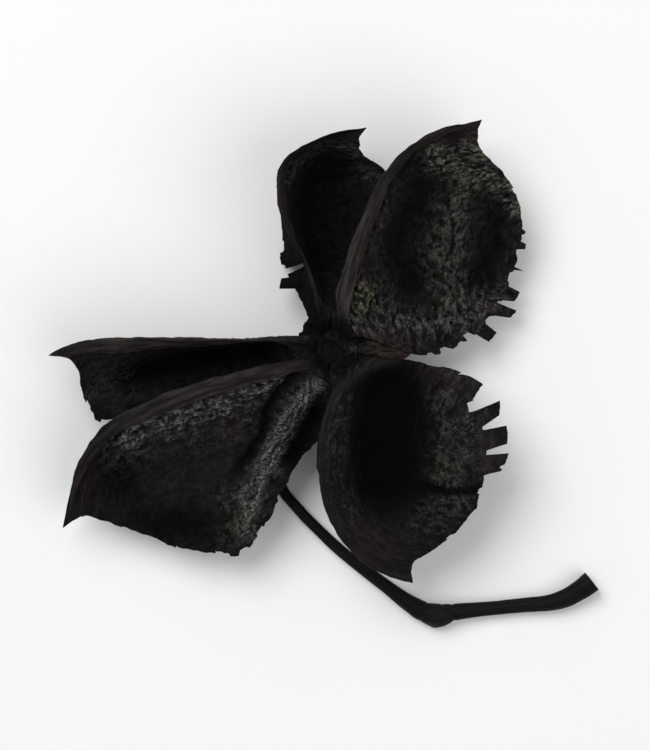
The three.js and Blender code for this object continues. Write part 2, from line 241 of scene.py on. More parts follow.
# ------------------------------------------------------------------ meshes
def build(name, verts, quads, tris=(), attributes=None, materials=()):
    """A mesh object from points in mm. attributes: name to one number or three for each point."""
    mesh = bpy.data.meshes.new(name)
    quads, tris = np.asarray(quads, np.int64).reshape(-1, 4), np.asarray(tris, np.int64).reshape(-1, 3)
    loops = np.concatenate([quads.ravel(), tris.ravel()]).astype(np.int32)
    sizes = np.concatenate([np.full(len(quads), 4), np.full(len(tris), 3)]).astype(np.int32)
    mesh.vertices.add(len(verts))
    mesh.vertices.foreach_set("co", (np.asarray(verts) * MM).astype(np.float32).ravel())
    mesh.loops.add(len(loops))
    mesh.loops.foreach_set("vertex_index", loops)
    mesh.polygons.add(len(sizes))
    starts = np.concatenate([[0], np.cumsum(sizes)[:-1]]).astype(np.int32)
    mesh.polygons.foreach_set("loop_start", starts)
    mesh.polygons.foreach_set("loop_total", sizes)
    mesh.polygons.foreach_set("use_smooth", np.ones(len(sizes), bool))
    mesh.update(calc_edges=True)
    mesh.validate()
    for key, values in (attributes or {}).items():
        values = np.asarray(values, np.float32)
        if values.ndim == 2:
            a = mesh.attributes.new(key, "FLOAT_VECTOR", "POINT")
            a.data.foreach_set("vector", values.ravel())
        else:
            a = mesh.attributes.new(key, "FLOAT", "POINT")
            a.data.foreach_set("value", values)
    for m in materials:
        mesh.materials.append(m)
    obj = bpy.data.objects.new(name, mesh)
    bpy.context.scene.collection.objects.link(obj)
    return obj


# ------------------------------------------------------------------ features of each valve
# Plan positions (X, Y), s the station along the valve and broad, 1 on the broad half, all over the valve's grid.
# rise moves both faces, in mm. The rest are masks: fuzz for matted fibres, streak for fibres that lie along the valve,
# the painted shade mask for deep hollows, creases and halves turned from the light, warm for the pinkish-brown skin,
# green for the yellow-green tufts, gloss for the smooth, slightly shiny skin and where pale glints are painted on its
# fibres, rib for how pale the crest is, edge for fibres that run along the margin, haze for smooth grey skin.
def features_upper_right(X, Y, s, broad):
    middle = strip(X, Y, [(401, 180), (397, 192), (392, 205), (391, 218), (395, 231)], 6.6)
    left = strip(X, Y, [(384, 191), (376, 203), (374, 214), (379, 225)], 7.0)
    right = strip(X, Y, [(412, 197), (411, 211), (405, 225)], 5.6)
    top = 1.1 * blob(X, Y, 388, 176, 5.5, 5.5) + 1.2 * blob(X, Y, 400, 177, 7, 8) + 0.7 * strip(X, Y, [(406, 184), (415, 189), (419, 197)], 4.2)
    tuft = blob(X, Y, 358, 232, 7.5, 6.5, 10)
    low = strip(X, Y, [(354, 243), (364, 244), (374, 241), (388, 242), (402, 238), (412, 230)], 5.4)
    side = strip(X, Y, [(366, 196), (361, 208), (358, 220)], 3.6)
    tip = blob(X, Y, 395, 166.5, 13, 5.0, -14)
    rise = broad * (1.0 * middle - 0.9 * left - 0.8 * right + 0.4 * tuft + 0.35 * top + 0.3 * low)
    fuzz = broad * np.clip(1.0 * middle + 1.1 * top + 1.2 * tuft + 0.7 * low + 0.3 * side + 0.22 - 0.2 * left - 0.14 * right, 0, 1.2)
    fuzz = fuzz * (1 - 0.9 * np.clip(tip * 1.3, 0, 1))
    # painted shade in the hollows on either side of the middle strip and under the tip
    return dict(rise=rise, fuzz=fuzz, streak=0.12 * broad, painted_shade=broad * np.clip(0.72 * left + 0.68 * right + 0.55 * blob(X, Y, 377, 181, 6, 6) + 0.5 * blob(X, Y, 394, 171, 3, 4), 0, 1),
                warm=np.clip(1.3 * tip + 0.9 * blob(X, Y, 366, 248, 9, 5) + 0.6 * side + 0.5 * blob(X, Y, 406, 236, 5, 4) + 0.35 * blob(X, Y, 395, 203, 4, 7), 0, 1),
                green=np.clip(1.25 * tuft + 0.42 * top + 0.24 * middle, 0, 1), gloss_and_glint=0.25 + 0.3 * left + 0.25 * low + 0.75 * top + 0.55 * tuft, haze=broad * np.clip(0.3 * middle + 0.5 * tip, 0, 1) + 0.55 * (1 - broad),
                rib=np.interp(s, [-1, 0, 1, 2, 3, 4.5, 6, 8, 10], [0.1, 0.7, 1.2, 1.15, 0.85, 0.5, 0.3, 0.12, 0.1]))


def features_upper_left(X, Y, s, broad):
    pit = np.clip(1.3 * blob(X, Y, 345.5, 193, 12, 19, 6) + 0.9 * blob(X, Y, 347, 212, 8, 12), 0, 1)
    tip = blob(X, Y, 352, 168.5, 9, 4.5)
    edge = strip(X, Y, [(327.8, 191), (328.5, 198), (330.5, 206)], 2.0)
    upper = strip(X, Y, [(331, 184), (336, 177), (345, 172.5), (354, 173), (358, 180), (362, 184)], 4.0)
    foot = blob(X, Y, 341, 229, 3.0, 6.0, -20)
    rise = broad * (-1.5 * pit)
    fuzz = broad * np.clip(0.5 * upper + 0.07, 0, 1) * (1 - 0.4 * tip) + (1 - broad) * 0.06
    # painted shade: the narrow half faces the light but is darkened as if in shade
    return dict(rise=rise, fuzz=fuzz, streak=0.2 * (1 - broad) + 0.1, painted_shade=np.clip(broad * 0.6 * pit + 0.85 * (1 - broad), 0, 1),
                warm=np.clip(0.3 * tip + 1.0 * edge + 0.9 * foot, 0, 1), green=0.5 * strip(X, Y, [(331, 197), (335, 206), (338, 221)], 2.4) + 0.0 * X,
                gloss_and_glint=0.2 + 0.0 * X, haze=broad * np.clip(0.5 * upper + 0.12 * pit, 0, 1), rib=np.interp(s, [-1, 0, 1, 2, 3, 4, 5, 6, 8], [0.1, 0.3, 0.5, 0.14, 0.42, 0.45, 0.16, 0.12, 0.15]))


def features_left(X, Y, s, broad):
    pit = strip(X, Y, [(322, 252), (300, 255.5), (278, 261), (268, 264)], 5.0)
    low = strip(X, Y, [(268, 262), (258, 264), (254, 270)], 7)
    tip = blob(X, Y, 243, 252.5, 9, 6)
    rise = broad * (-0.8 * pit)
    fuzz = broad * np.clip(0.1 + 0.22 * low, 0, 1) * (1 - 0.5 * tip) + (1 - broad) * 0.15
    return dict(rise=rise, fuzz=fuzz, streak=0.35 * np.ones_like(X), painted_shade=np.clip(broad * 1.05 * pit + 0.1 * (1 - broad), 0, 1),
                warm=np.clip(0.3 * tip + 1.0 * strip(X, Y, [(316, 250), (304, 249), (276, 248.6)], 2.4), 0, 1), green=0.0 * X,
                gloss_and_glint=0.25 + 0.0 * X, haze=broad * 0.55 * blob(X, Y, 264, 263, 14, 10) + 0.55 * (1 - broad), rib=np.interp(s, [-1, 0, 1, 2, 3, 4, 5, 6, 9], [0.05, 0.3, 0.8, 1.2, 1.0, 1.3, 0.9, 0.45, 0.3]))


def features_lower_left(X, Y, s, broad):
    wx, wy = X + 2.2 * fbm(X * 0.09, Y * 0.09, 301, 2), Y + 2.2 * fbm(X * 0.09, Y * 0.09, 302, 2)
    flap = strip(wx, wy, [(340, 266), (332, 276), (326, 286), (321.5, 296), (317, 306), (313.5, 321)], 4.5)
    crease = strip(wx, wy, [(335, 261.5), (326.5, 267.5), (321.8, 276), (318.5, 287), (311.5, 298), (306, 304)], 1.5) * step(305, 313, X) * step(337, 331, X)
    fibres = strip(wx, wy, [(326, 263.5), (312, 269), (302, 273.5), (290, 277.5), (276, 281), (266, 287)], 3.9)
    middle = strip(wx, wy, [(316, 273), (306, 281), (294, 284), (280, 286), (268, 291)], 6.4)
    centre = blob(X, Y, 290, 299, 17, 11, -20)
    shade = blob(X, Y, 264, 302, 8, 9) + 1.05 * blob(X, Y, 287, 320, 21, 7.5)
    mottle = strip(wx, wy, [(314, 304), (309, 314), (309, 323)], 6.0)
    under = strip(X, Y, [(341, 276), (337.5, 284), (332, 294)], 3.0)
    tip = blob(X, Y, 248, 305, 7, 14, 15)
    rise = broad * (1.15 * flap - 0.75 * crease + 0.4 * fibres - 0.7 * centre - 0.3 * shade - 0.5 * under)
    fuzz = broad * np.clip(0.1 + 1.35 * fibres + 1.05 * flap + 0.62 * middle + 0.5 * mottle + 0.35 * blob(X, Y, 262, 294, 6, 8) - 0.06 * centre - 0.08 * shade - 0.9 * crease - 0.7 * under, 0, 1.2)
    fuzz = fuzz * (1 - 0.7 * np.clip(tip, 0, 1))
    streak = broad * np.clip(1.0 * flap + 0.35 * fibres + 0.4 * middle, 0, 1)
    return dict(rise=rise, fuzz=fuzz, streak=streak, painted_shade=np.clip(broad * (0.75 * crease + 0.75 * shade + 0.8 * under) + 0.1 * (1 - broad), 0, 1),
                warm=np.clip(0.7 * tip + 0.8 * strip(X, Y, [(336, 256), (322, 261)], 3.5) + 0.75 * blob(X, Y, 310, 281, 3.5, 7) + 0.5 * blob(X, Y, 297, 279, 3, 5), 0, 1),
                green=broad * np.clip(0.35 * blob(X, Y, 268, 298, 9, 9) + 0.4 * blob(X, Y, 303, 317, 14, 7) + 0.3 * blob(X, Y, 316, 281, 5, 9), 0, 1),
                gloss_and_glint=0.2 + 1.0 * fibres + 0.68 * flap, edge=broad * np.clip(1.4 * flap, 0, 1), haze=broad * np.clip(0.6 * centre + 0.35 * middle + 0.3 * mottle, 0, 1) + 0.55 * (1 - broad),
                rib=np.interp(s, [-1, 0, 1, 2, 3, 5, 7, 10], [0.05, 0.4, 0.7, 0.75, 0.7, 0.55, 0.3, 0.25]))


def features_lower_right(X, Y, s, broad):
    pit = np.clip(1.25 * strip(X, Y, [(371, 271), (370, 285), (370, 301)], 12), 0, 1)
    rough = strip(X, Y, [(393, 275), (397, 287), (392, 298)], 9.0)
    slope = strip(X, Y, [(352, 272), (349, 286), (350, 300), (355, 312)], 6.0)
    lower = strip(X, Y, [(386, 318), (395, 311)], 7.5)
    fold = strip(X, Y, [(382, 305), (393, 307), (404, 306)], 1.8)
    tip = blob(X, Y, 361, 326, 13, 9, 35)
    lip = strip(X, Y, [(353, 264), (361, 259.2), (372, 257)], 3.0)
    lobe = blob(X, Y, 391, 264, 11, 7)
    rise = broad * (-2.0 * pit + 0.45 * rough + 0.35 * lower + 0.85 * lip - 0.5 * fold)
    fuzz = broad * np.clip(0.12 + 0.76 * rough + 0.2 * slope + 0.4 * lower + 0.3 * lobe - 0.6 * pit - 0.8 * fold, 0, 1.15)
    fuzz = fuzz * (1 - 0.55 * np.clip(tip * 1.1, 0, 1)) * (1 - 0.85 * lip)
    return dict(rise=rise, fuzz=fuzz, streak=broad * np.clip(0.45 * slope, 0, 1), painted_shade=np.clip(broad * (1.15 * pit + 0.7 * fold + 0.25 * slope) + 0.1 * (1 - broad), 0, 1),
                warm=np.clip(0.62 * tip + 0.28 * slope + 0.7 * lobe + 0.4 * lip + 0.45 * blob(X, Y, 407, 294, 7, 7), 0, 1),
                green=broad * 0.4 * blob(X, Y, 390, 297, 8, 8), gloss_and_glint=0.25 + 0.65 * slope + 0.3 * tip + 0.08 * rough,
                haze=broad * np.clip(0.8 * tip + 0.9 * lip + 0.45 * blob(X, Y, 405, 291, 8, 8) + 0.35 * rough + 0.35 * lobe, 0, 1) + 0.55 * (1 - broad),
                rib=np.interp(s, [-1, 0, 1, 2, 4, 6, 9], [0.05, 0.15, 0.1, 0.06, 0.06, 0.1, 0.2]))


FEATURES = {
    "valve_upper_left": features_upper_left,
    "valve_upper_right": features_upper_right,
    "valve_left": features_left,
    "valve_lower_left": features_lower_left,
    "valve_lower_right": features_lower_right,
}

# Torn margins: teeth and slits as plan x, y on the margin, half width in mm, length in mm (slits negative), slant of the
# end, and how far the tooth leans along the margin in mm.
TEETH = {
    "valve_upper_left": {
        "narrow": [(328.0, 210.4, 0.9, -0.15, 0.0, 0.0), (328.6, 215.7, 1.35, 0.6, 0.0, 0.25), (331.6, 225.7, 1.55, 1.9, -0.43, 0.95)],
        "broad": [(357.0, 172.0, 0.5, 0.3, 0.0, 0.0), (361.5, 179.0, 0.4, -0.3, 0.0, 0.0)],
    },
    "valve_upper_right": {
        "narrow": [],
        "broad": [(420.8, 205.4, 0.45, 0.8, 0.3, 0.0), (420.4, 210.4, 0.6, 1.2, 0.0, 0.1), (420.0, 213.6, 0.5, -0.3, 0.0, 0.0),
                  (418.6, 219.6, 0.18, 1.7, 0.0, 0.3), (417.4, 223.4, 0.9, -0.5, 0.0, 0.0), (415.0, 229.9, 1.05, 2.35, 0.1, 0.6),
                  (412.9, 233.4, 0.3, -0.5, 0.0, 0.0), (411.7, 236.2, 1.0, 3.0, 0.3, 0.9), (408.8, 239.6, 0.6, -0.4, 0.0, 0.0),
                  (405.4, 243.4, 1.2, 2.8, -0.1, -0.1), (401.0, 246.6, 0.7, -1.2, 0.0, 0.0), (397.4, 249.2, 0.5, -0.4, 0.0, 0.0),
                  (392.0, 251.6, 0.8, -0.9, 0.0, 0.0), (386.0, 253.0, 0.6, -0.5, 0.0, 0.0), (376.5, 253.4, 0.35, 0.5, 0.0, 0.0), (371.0, 252.4, 0.5, -0.5, 0.0, 0.0), (366.0, 250.4, 0.4, 0.4, 0.0, 0.0), (417.8, 190.0, 0.5, -0.3, 0.0, 0.0)],
    },
    "valve_left": {
        "narrow": [],
        "broad": [(255.2, 277.6, 0.7, 0.6, 0.0, -0.3), (252.0, 273.5, 0.6, -0.5, 0.0, 0.0)],
    },
    "valve_lower_left": {
        "narrow": [],
        "broad": [(308.6, 330.8, 0.9, 0.7, 0.0, 0.2), (303.0, 331.4, 0.7, -0.4, 0.0, 0.0), (283.5, 327.8, 0.9, 0.4, 0.0, 0.0),
                  (319.0, 322.6, 0.8, -0.4, 0.0, 0.0), (314.6, 327.6, 0.6, 0.5, 0.0, 0.0), (326.5, 308.0, 0.7, -0.4, 0.0, 0.0)],
    },
    "valve_lower_right": {
        "narrow": [],
        "broad": [(392.0, 260.6, 1.6, 0.7, 0.1, 0.0), (398.4, 264.6, 1.7, 1.55, 0.6, 0.0), (401.0, 269.6, 0.85, 0.9, -1.3, 0.0), (402.4, 273.7, 0.85, -1.35, 0.0, 0.0),
                  (404.0, 279.2, 1.25, 3.9, -0.35, -1.1), (405.6, 287.0, 1.62, 4.25, -0.05, -0.1), (405.9, 297.0, 1.55, 3.75, -0.45, 0.1),
                  (405.7, 298.6, 0.25, 2.9, 0.0, 0.1), (405.2, 303.0, 0.6, 0.2, 0.0, 0.0), (404.6, 306.6, 0.5, -0.5, 0.0, 0.0), (402.0, 313.0, 0.5, 0.45, 0.0, 0.0),
                  (393.0, 324.5, 0.6, -0.4, 0.0, 0.0)],
    },
}
# Slits that run far up the narrow half: plan x, y, half width in mm, share of the half.
SLITS = {"valve_upper_left": [(329.4, 220.5, 0.62, 0.55)]}
# Margins that reach behind the next valve, by station: how far in the plan, in mm.
TUCK = {
    "valve_upper_left": ([-1, -0.2, 0.2, 0.6, 1, 2, 4, 4.7, 5.2, 5.8], [0, 0.3, 1.0, 1.2, 1.4, 1.8, 1.8, 1.6, 1.1, 0]),
    "valve_upper_right": ([-1, 0.1, 0.4, 1.1, 1.6], [0, 0, -0.6, -0.5, 0]),
    "valve_left": ([-1, -0.4, 0, 0.6, 1, 2, 3, 4, 4.6, 5.0], [0, 0.6, 1.2, 2.0, 2.1, 1.8, 1.7, 1.5, 0.7, 0]),
    "valve_lower_left": ([-1, -0.5, -0.1, 0.4, 1.0, 1.6, 2.2], [0, 0.9, 1.9, 2.1, 1.8, 1.2, 0]),
    "valve_lower_right": ([-1, 9], [0, 0]),
}
# How strongly the crest stands out as a band, and the band's width in mm by station.
CREST = {
    "valve_upper_left": (0.6, [0, 8], [2.5, 2.2]),
    "valve_upper_right": (1.0, [0, 1, 3, 6, 9], [3.3, 3.5, 2.9, 2.4, 2.0]),
    "valve_left": (0.7, [0, 2, 4, 6, 9], [2.2, 3.6, 4.4, 3.4, 2.4]),
    "valve_lower_left": (0.9, [0, 1, 3, 6, 9], [2.8, 3.4, 3.6, 3.0, 2.2]),
    "valve_lower_right": (0.15, [0, 9], [2.5, 2.5]),
}
GRID = {  # rows along, columns on the narrow and the broad half of the inner face, then of the outer face
    "valve_upper_left": (270, 34, 96, 18, 30),
    "valve_upper_right": (330, 32, 150, 18, 46),
    "valve_left": (280, 30, 90, 18, 30),
    "valve_lower_left": (335, 32, 150, 18, 46),
    "valve_lower_right": (330, 32, 150, 18, 46),
}


def long_lines(valve):
    """Control points of the narrow margin, the narrow half's middle, the crest, the broad half's middle and the broad
    margin, from inside the receptacle to the tip."""
    rows = np.array(valve["rows"])
    crest, broad, narrow = place(*rows[:, 0:3].T), place(*rows[:, 3:6].T), place(*rows[:, 6:9].T)
    across = broad - crest
    across[:, 2] = 0
    across /= np.linalg.norm(across, axis=1, keepdims=True)
    lines = [narrow, (crest + narrow) / 2 + across * rows[:, 10:11], crest, (crest + broad) / 2 - np.outer(rows[:, 9], [0, 0, 1]), broad]
    hub, tip = place(HUB[0], HUB[1], 15.2), place(*valve["tip"])
    out = []
    for line in lines:
        root = line[0] * 0.45 + hub * 0.55
        root[2] = 15.0
        out.append(np.vstack([root, line, tip]))
    return np.array(out)


def margin_reach(name, side, stations, line):
    """How far the torn margin stands out beyond the smooth one at each row, and how far it leans along it, in mm."""
    n = len(VALVES[name]["rows"]) + 2
    along = np.concatenate([[0], np.cumsum(np.linalg.norm(np.diff(line, axis=0), axis=1))])
    seed = sum(map(ord, name + side))
    reach = 0.36 * fbm(along * 0.55, 0.3, seed, 3) + 0.16 * ridged(along * 1.1, 0.7, seed + 5, 2)
    reach = reach * (0.5 if side == "narrow" else 1.0)
    lean = np.zeros_like(reach)
    X, Y = plan_of(line)
    for x, y, half, length, slant, drift in TEETH[name][side]:
        at = along[np.argmin((X - x) ** 2 + (Y - y) ** 2)]
        d = along - at
        wave = 0.16 * perlin(along * 2.1, 1.7, seed + 9) + 0.08 * perlin(along * 5.3, 2.7, seed + 10)
        mask = step(half + 0.07, half - 0.07, np.abs(d) + wave * 0.35)
        rounded = 0.14 * np.clip(np.abs(d) / half, 0, 1) ** 3 if length > 0.7 else 0.0
        reach = reach * (1 - mask) + mask * (length + slant * d + wave - rounded)
        lean = lean * (1 - mask) + mask * drift
    if side == "broad":
        tuck = np.interp(stations, *TUCK[name])
        reach = reach * (1 - 0.6 * step(0.1, 0.5, np.abs(tuck))) + np.minimum(tuck, 0)
    fade = step(-0.3, 0.5, stations) * step(n - 2.1, n - 3.1, stations)
    return reach * fade, lean * fade


def parted_walls(P, N, c, mid, crest, full, edge):
    """For each row, the wall's thickness and how far from the crest the two halves' walls part: nearer to it the fold is
    solid."""
    rows = len(P)
    walls, parts = np.zeros(rows), np.zeros(rows)
    trial = full * 0.92 ** np.arange(32)
    for i in range(rows):
        dn, db = -c[i, mid::-1], c[i, mid:]
        reach = min(dn[-1], db[-1])
        d = np.linspace(0, reach, 40)[1:]

        def leg(dist, pts):
            return np.stack([np.interp(d, dist, pts[:, k]) for k in range(3)], 1)

        pn, nn = leg(dn, P[i, mid::-1]), leg(dn, N[i, mid::-1])
        pb, nb = leg(db, P[i, mid:]), leg(db, N[i, mid:])
        tn, tb = 1 - (1 - edge) * np.clip(d / dn[-1] - 0.7, 0, 1) / 0.3, 1 - (1 - edge) * np.clip(d / db[-1] - 0.7, 0, 1) / 0.3
        across = pb - pn
        across -= np.outer(across @ crest[i], crest[i])
        across /= np.maximum(np.linalg.norm(across, axis=1, keepdims=True), 1e-9)
        gap = np.einsum("kd,kd->k", pb - pn, across)
        take = np.einsum("kd,kd->k", nb * tb[:, None] - nn * tn[:, None], across)
        cap = 0.15 * reach
        for w in trial:
            if w > cap and w > 0.1:
                continue
            closed = np.nonzero(gap - w * take < 0.2 * w)[0]
            far = d[closed[-1]] if len(closed) else 0.0
            if far < 0.6 * reach or w < 0.1:
                break
        walls[i], parts[i] = w, min(far, 0.6 * reach)
    smooth = np.exp(-0.5 * (np.arange(-8, 9) / 3.0) ** 2)
    smooth /= smooth.sum()

    def soften(x):
        return np.convolve(np.pad(x, 8, mode="edge"), smooth, mode="valid")

    return soften(walls), soften(parts)


def valve_mesh(name):
    valve = VALVES[name]
    lines = long_lines(valve)
    n = lines.shape[1]  # control points: one in the receptacle, the stations, the tip
    rows, cols_n, cols_b, out_n, out_b = GRID[name]
    stations = np.linspace(-0.9, n - 2 - 0.012, rows)
    u = (stations + 1) / (n - 1)
    # columns, closer together at the crest
    t = np.concatenate([0.5 - 0.5 * (np.linspace(1, 0, cols_n, endpoint=False) ** 1.25), 0.5 + 0.5 * np.linspace(0, 1, cols_b) ** 1.05])
    control = np.einsum("ik,lkd->ild", basis(n, u), lines)  # row, line, xyz

    def surface(shift_u, vv):
        ctl = np.einsum("ik,lkd->ild", basis(n, u + shift_u), lines) if shift_u else control
        return np.einsum("ijl,ild->ijd", basis(5, vv), ctl)

    # torn margins: the outer columns are drawn out into teeth or back into slits
    v = np.broadcast_to(t, (rows, len(t))).copy()
    push = np.zeros((rows, len(t), 3))
    for side in ("broad", "narrow"):
        line = control[:, 4 if side == "broad" else 0]
        reach, lean = margin_reach(name, side, stations, line)
        tangent = np.gradient(line, axis=0)
        tangent /= np.maximum(np.linalg.norm(tangent, axis=1, keepdims=True), 1e-9)
        edge = np.array([[1.0, 0.96]]) if side == "broad" else np.array([[0.0, 0.04]])
        pair = surface(0, np.broadcast_to(edge, (rows, 2)))
        width = np.maximum(np.linalg.norm(pair[:, 0] - pair[:, 1], axis=1) / 0.04, 4.0)
        if side == "broad":
            k = np.clip((t - 0.84) / 0.16, 0, 1)[None, :]
            v = v + k * (reach / width)[:, None]
            push += (k**2 * lean[:, None])[..., None] * tangent[:, None]
            out = line - control[:, 3]
            out[:, 2] = 0
            out /= np.maximum(np.linalg.norm(out, axis=1, keepdims=True), 1e-9)
            tuck = np.maximum(np.interp(stations, *TUCK[name]), 0)
            k = np.clip((t - 0.7) / 0.3, 0, 1)[None, :]
            push += (k**2 * tuck[:, None])[..., None] * out[:, None]
        else:
            # teeth of the steep narrow half stand outwards
            out = control[:, 0] - control[:, 1]
            out[:, 2] = 0
            out /= np.maximum(np.linalg.norm(out, axis=1, keepdims=True), 1e-9)
            k = np.clip((0.2 - t) / 0.2, 0, 1)[None, :]
            push += (k**2 * reach[:, None])[..., None] * out[:, None] + (k**2 * lean[:, None])[..., None] * tangent[:, None]
            X, Y = plan_of(line)
            along = np.concatenate([[0], np.cumsum(np.linalg.norm(np.diff(line, axis=0), axis=1))])
            for x, y, half, share in SLITS.get(name, []):
                d = np.abs(along - along[np.argmin((X - x) ** 2 + (Y - y) ** 2)])
                cut = step(half + 0.12, half - 0.12, d)[:, None] * share * 0.5
                k = np.clip((0.42 - t) / 0.42, 0, 1)[None, :]
                v = v + k * cut
    base = surface(0, v) + push
    e = 2e-3
    du = surface(e, v) - surface(-e, v)
    dv = surface(0, v + e) - surface(0, v - e)
    normal = np.cross(du, dv)
    normal /= np.maximum(np.linalg.norm(normal, axis=2, keepdims=True), 1e-9)
    if valve["flip"]:
        normal = -normal
    crest_dir = np.gradient(base[:, cols_n], axis=0)
    crest_dir /= np.maximum(np.linalg.norm(crest_dir, axis=1, keepdims=True), 1e-9)

    # distances in mm along the crest and across from it
    along = np.concatenate([[0], np.cumsum(np.linalg.norm(np.diff(base[:, cols_n], axis=0), axis=1))])
    cum = np.concatenate([np.zeros((rows, 1)), np.cumsum(np.linalg.norm(np.diff(base, axis=1), axis=2), axis=1)], axis=1)
    c = cum - cum[:, cols_n : cols_n + 1]
    a = np.broadcast_to(along[:, None], c.shape)
    X, Y = plan_of(base)
    broad = step(-0.3, 1.4, c)
    seed = sum(map(ord, name))
    s = np.broadcast_to(stations[:, None], c.shape)
    tipness = step(n - 4.2, n - 2.3, s)
    margin = np.clip((1 - v) * 8, 0, 1)
    f = FEATURES[name](X, Y, s, broad)
    zero = np.zeros_like(c)

    # both faces: the valve's own features, slow undulation, a wavy margin
    fade = step(-0.2, 1.2, s) * (1 - 0.8 * tipness)
    macro = f["rise"] * step(-0.4, 0.5, s)
    macro = macro + fade * (0.4 * fbm(a * 0.11, c * 0.13, seed, 2) + 0.24 * fbm(a * 0.33, c * 0.3, seed + 3, 2)) * step(-6, 0, c)
    macro = macro + fade * (1 - margin) * 0.6 * perlin(a * 0.3, 2.5, seed + 8) * broad
    middle = base + normal * macro[..., None]

    # inner face
    wall, part = parted_walls(middle, normal, c, cols_n, crest_dir, WALL, WALL_EDGE / WALL)
    thin = np.clip(wall / 0.7, 0.1, 1)[:, None] * (0.45 + 0.55 * np.clip(np.minimum(v, 1 - v) * 12, 0, 1))
    own = CREST[name][0]
    wide = np.interp(s, *CREST[name][1:])
    off = c + 0.4 * fbm(a * 0.3, c * 0.2, seed + 27, 2)
    band = step(-1.0, -0.2, c) * step(0.0, -1.0, off - wide) * step(-0.6, 0.8, s)
    groove = own * np.exp(-(((off - wide - 0.1) / 0.6) ** 2)) * step(0, 1, s) * (1 - tipness)
    root = step(0.75, -0.1, s)
    wx, wy = a + 0.75 * fbm(a * 0.7, c * 0.7, seed + 11, 2), c + 0.75 * fbm(a * 0.7, c * 0.7, seed + 12, 2)
    clump = fbm(wx * 0.8, wy * 0.85, seed + 13, 3, 0.62)
    matted = np.clip(0.4 + 0.8 * clump + 0.4 * (ridged(wx * 0.7, wy * 0.75, seed + 14, 2) - 0.28), 0, 1)
    hair = fbm(a * 0.3 + 0.35 * (wx - a), c * 1.35 + 0.5 * (wy - c), seed + 15, 3, 0.65)
    m = cum[:, -1:] - cum
    beside = fbm(a * 0.26 + 0.35 * (wx - a), m * 1.3 + 0.4 * (wy - c), seed + 16, 3, 0.65)
    along_edge, haze = f.get("edge", zero), f.get("haze", zero)
    lined = np.clip(0.42 + 0.95 * (hair * (1 - along_edge) + beside * along_edge), 0, 1)
    pile = matted * (1 - f["streak"]) + lined * f["streak"]
    patch = 0.92 + 1.0 * fbm(a * 0.22, c * 0.22, seed + 21, 3)
    fuzz = np.clip(f["fuzz"] * patch, 0, 1.2) * step(-1.0 * own - 0.4, 0.5, np.abs(off) - wide * np.clip(own * 1.3, 0.3, 1)) * step(-0.5, 0.15, s)
    # sparse specks across the skin, raised a little and painted pale as glints
    glint_speck = step(0.62, 0.82, np.clip(0.45 + 0.85 * fbm(wx * 1.3, wy * 1.35, seed + 22, 2, 0.6), 0, 1)) * step(-0.25, 0.3, fbm(a * 0.3, c * 0.3, seed + 23, 2))
    glint_speck = glint_speck * step(2.2, 3.2, np.abs(c)) * (1 - 0.7 * tipness) * (0.3 + 0.7 * np.clip(fuzz * 2, 0, 1)) * (1 - 0.6 * haze)
    wrinkle = tipness * np.sin(a * 2.1 + 0.8 * c + 2.2 * fbm(a * 0.2, c * 0.3, seed + 18, 2)) * np.exp(-((c / 9) ** 2))
    inner = 0.14 * own * band * (1 - root) - 0.14 * groove + 0.34 * root * clump + 0.66 * fuzz * (pile - 0.42) + 0.08 * glint_speck + 0.07 * wrinkle
    inner = inner + band * 0.06 * fbm(a * 0.12, c * 3.0, seed + 24, 2)
    inner = inner + (1 - band) * (0.09 * clump * (1 - 0.7 * tipness) * (1 - f["streak"]) * (1 - 0.6 * haze) + 0.16 * fbm(a * 0.4, c * 0.5, seed + 19, 3))
    inner = inner + (1 - broad) * step(0, 1, s) * (0.16 * fbm(a * 0.12, c * 0.7, seed + 33, 3) + 0.14 * (ridged(a * 0.1, c * 0.42, seed + 34, 2) - 0.3))
    top = middle + normal * (inner * thin)[..., None]

    # outer face: leathery, with lengthwise veins; it starts where the walls part
    legs = {}
    for side, q in (("narrow", np.linspace(1, 0, out_n + 1)), ("broad", np.linspace(0, 1, out_b + 1))):
        P, N, C = [], [], []
        for i in range(rows):
            dist, pts, nor = (-c[i, cols_n::-1], middle[i, cols_n::-1], normal[i, cols_n::-1]) if side == "narrow" else (c[i, cols_n:], middle[i, cols_n:], normal[i, cols_n:])
            d = part[i] + (dist[-1] - part[i]) * q
            P.append(np.stack([np.interp(d, dist, pts[:, k]) for k in range(3)], 1))
            N.append(np.stack([np.interp(d, dist, nor[:, k]) for k in range(3)], 1))
            C.append(d)
        P, N, C = np.array(P), np.array(N), np.array(C)
        N /= np.maximum(np.linalg.norm(N, axis=2, keepdims=True), 1e-9)
        A = np.broadcast_to(along[:, None], C.shape)
        signed = C if side == "broad" else -C
        taper = 1 - (1 - WALL_EDGE / WALL) * np.clip(q - 0.7, 0, 1)[None, :] / 0.3
        vein = 0.12 * fbm(A * 0.16, signed * 0.7, seed + 30, 3) + 0.1 * ridged(A * 0.12, signed * 0.5, seed + 31, 1) + 0.04 * fbm(A * 1.1, signed * 1.3, seed + 32, 2)
        vein = vein * np.clip(wall / 0.8, 0, 1)[:, None] * step(0.0, 0.25, C - part[:, None])
        thick = wall[:, None] * taper + vein * 0.8
        legs[side] = (P - N * thick[..., None], A, signed)
    joint = (legs["narrow"][0][:, -1:] + legs["broad"][0][:, :1]) / 2
    bottom = np.concatenate([legs["narrow"][0][:, :-1], joint, legs["broad"][0][:, 1:]], 1)
    out_a = np.concatenate([legs["narrow"][1][:, :-1], legs["broad"][1]], 1)
    out_c = np.concatenate([legs["narrow"][2][:, :-1], legs["broad"][2]], 1)
    top[..., 2] = np.maximum(top[..., 2], 0.03)
    bottom[..., 2] = np.maximum(bottom[..., 2], 0.0)

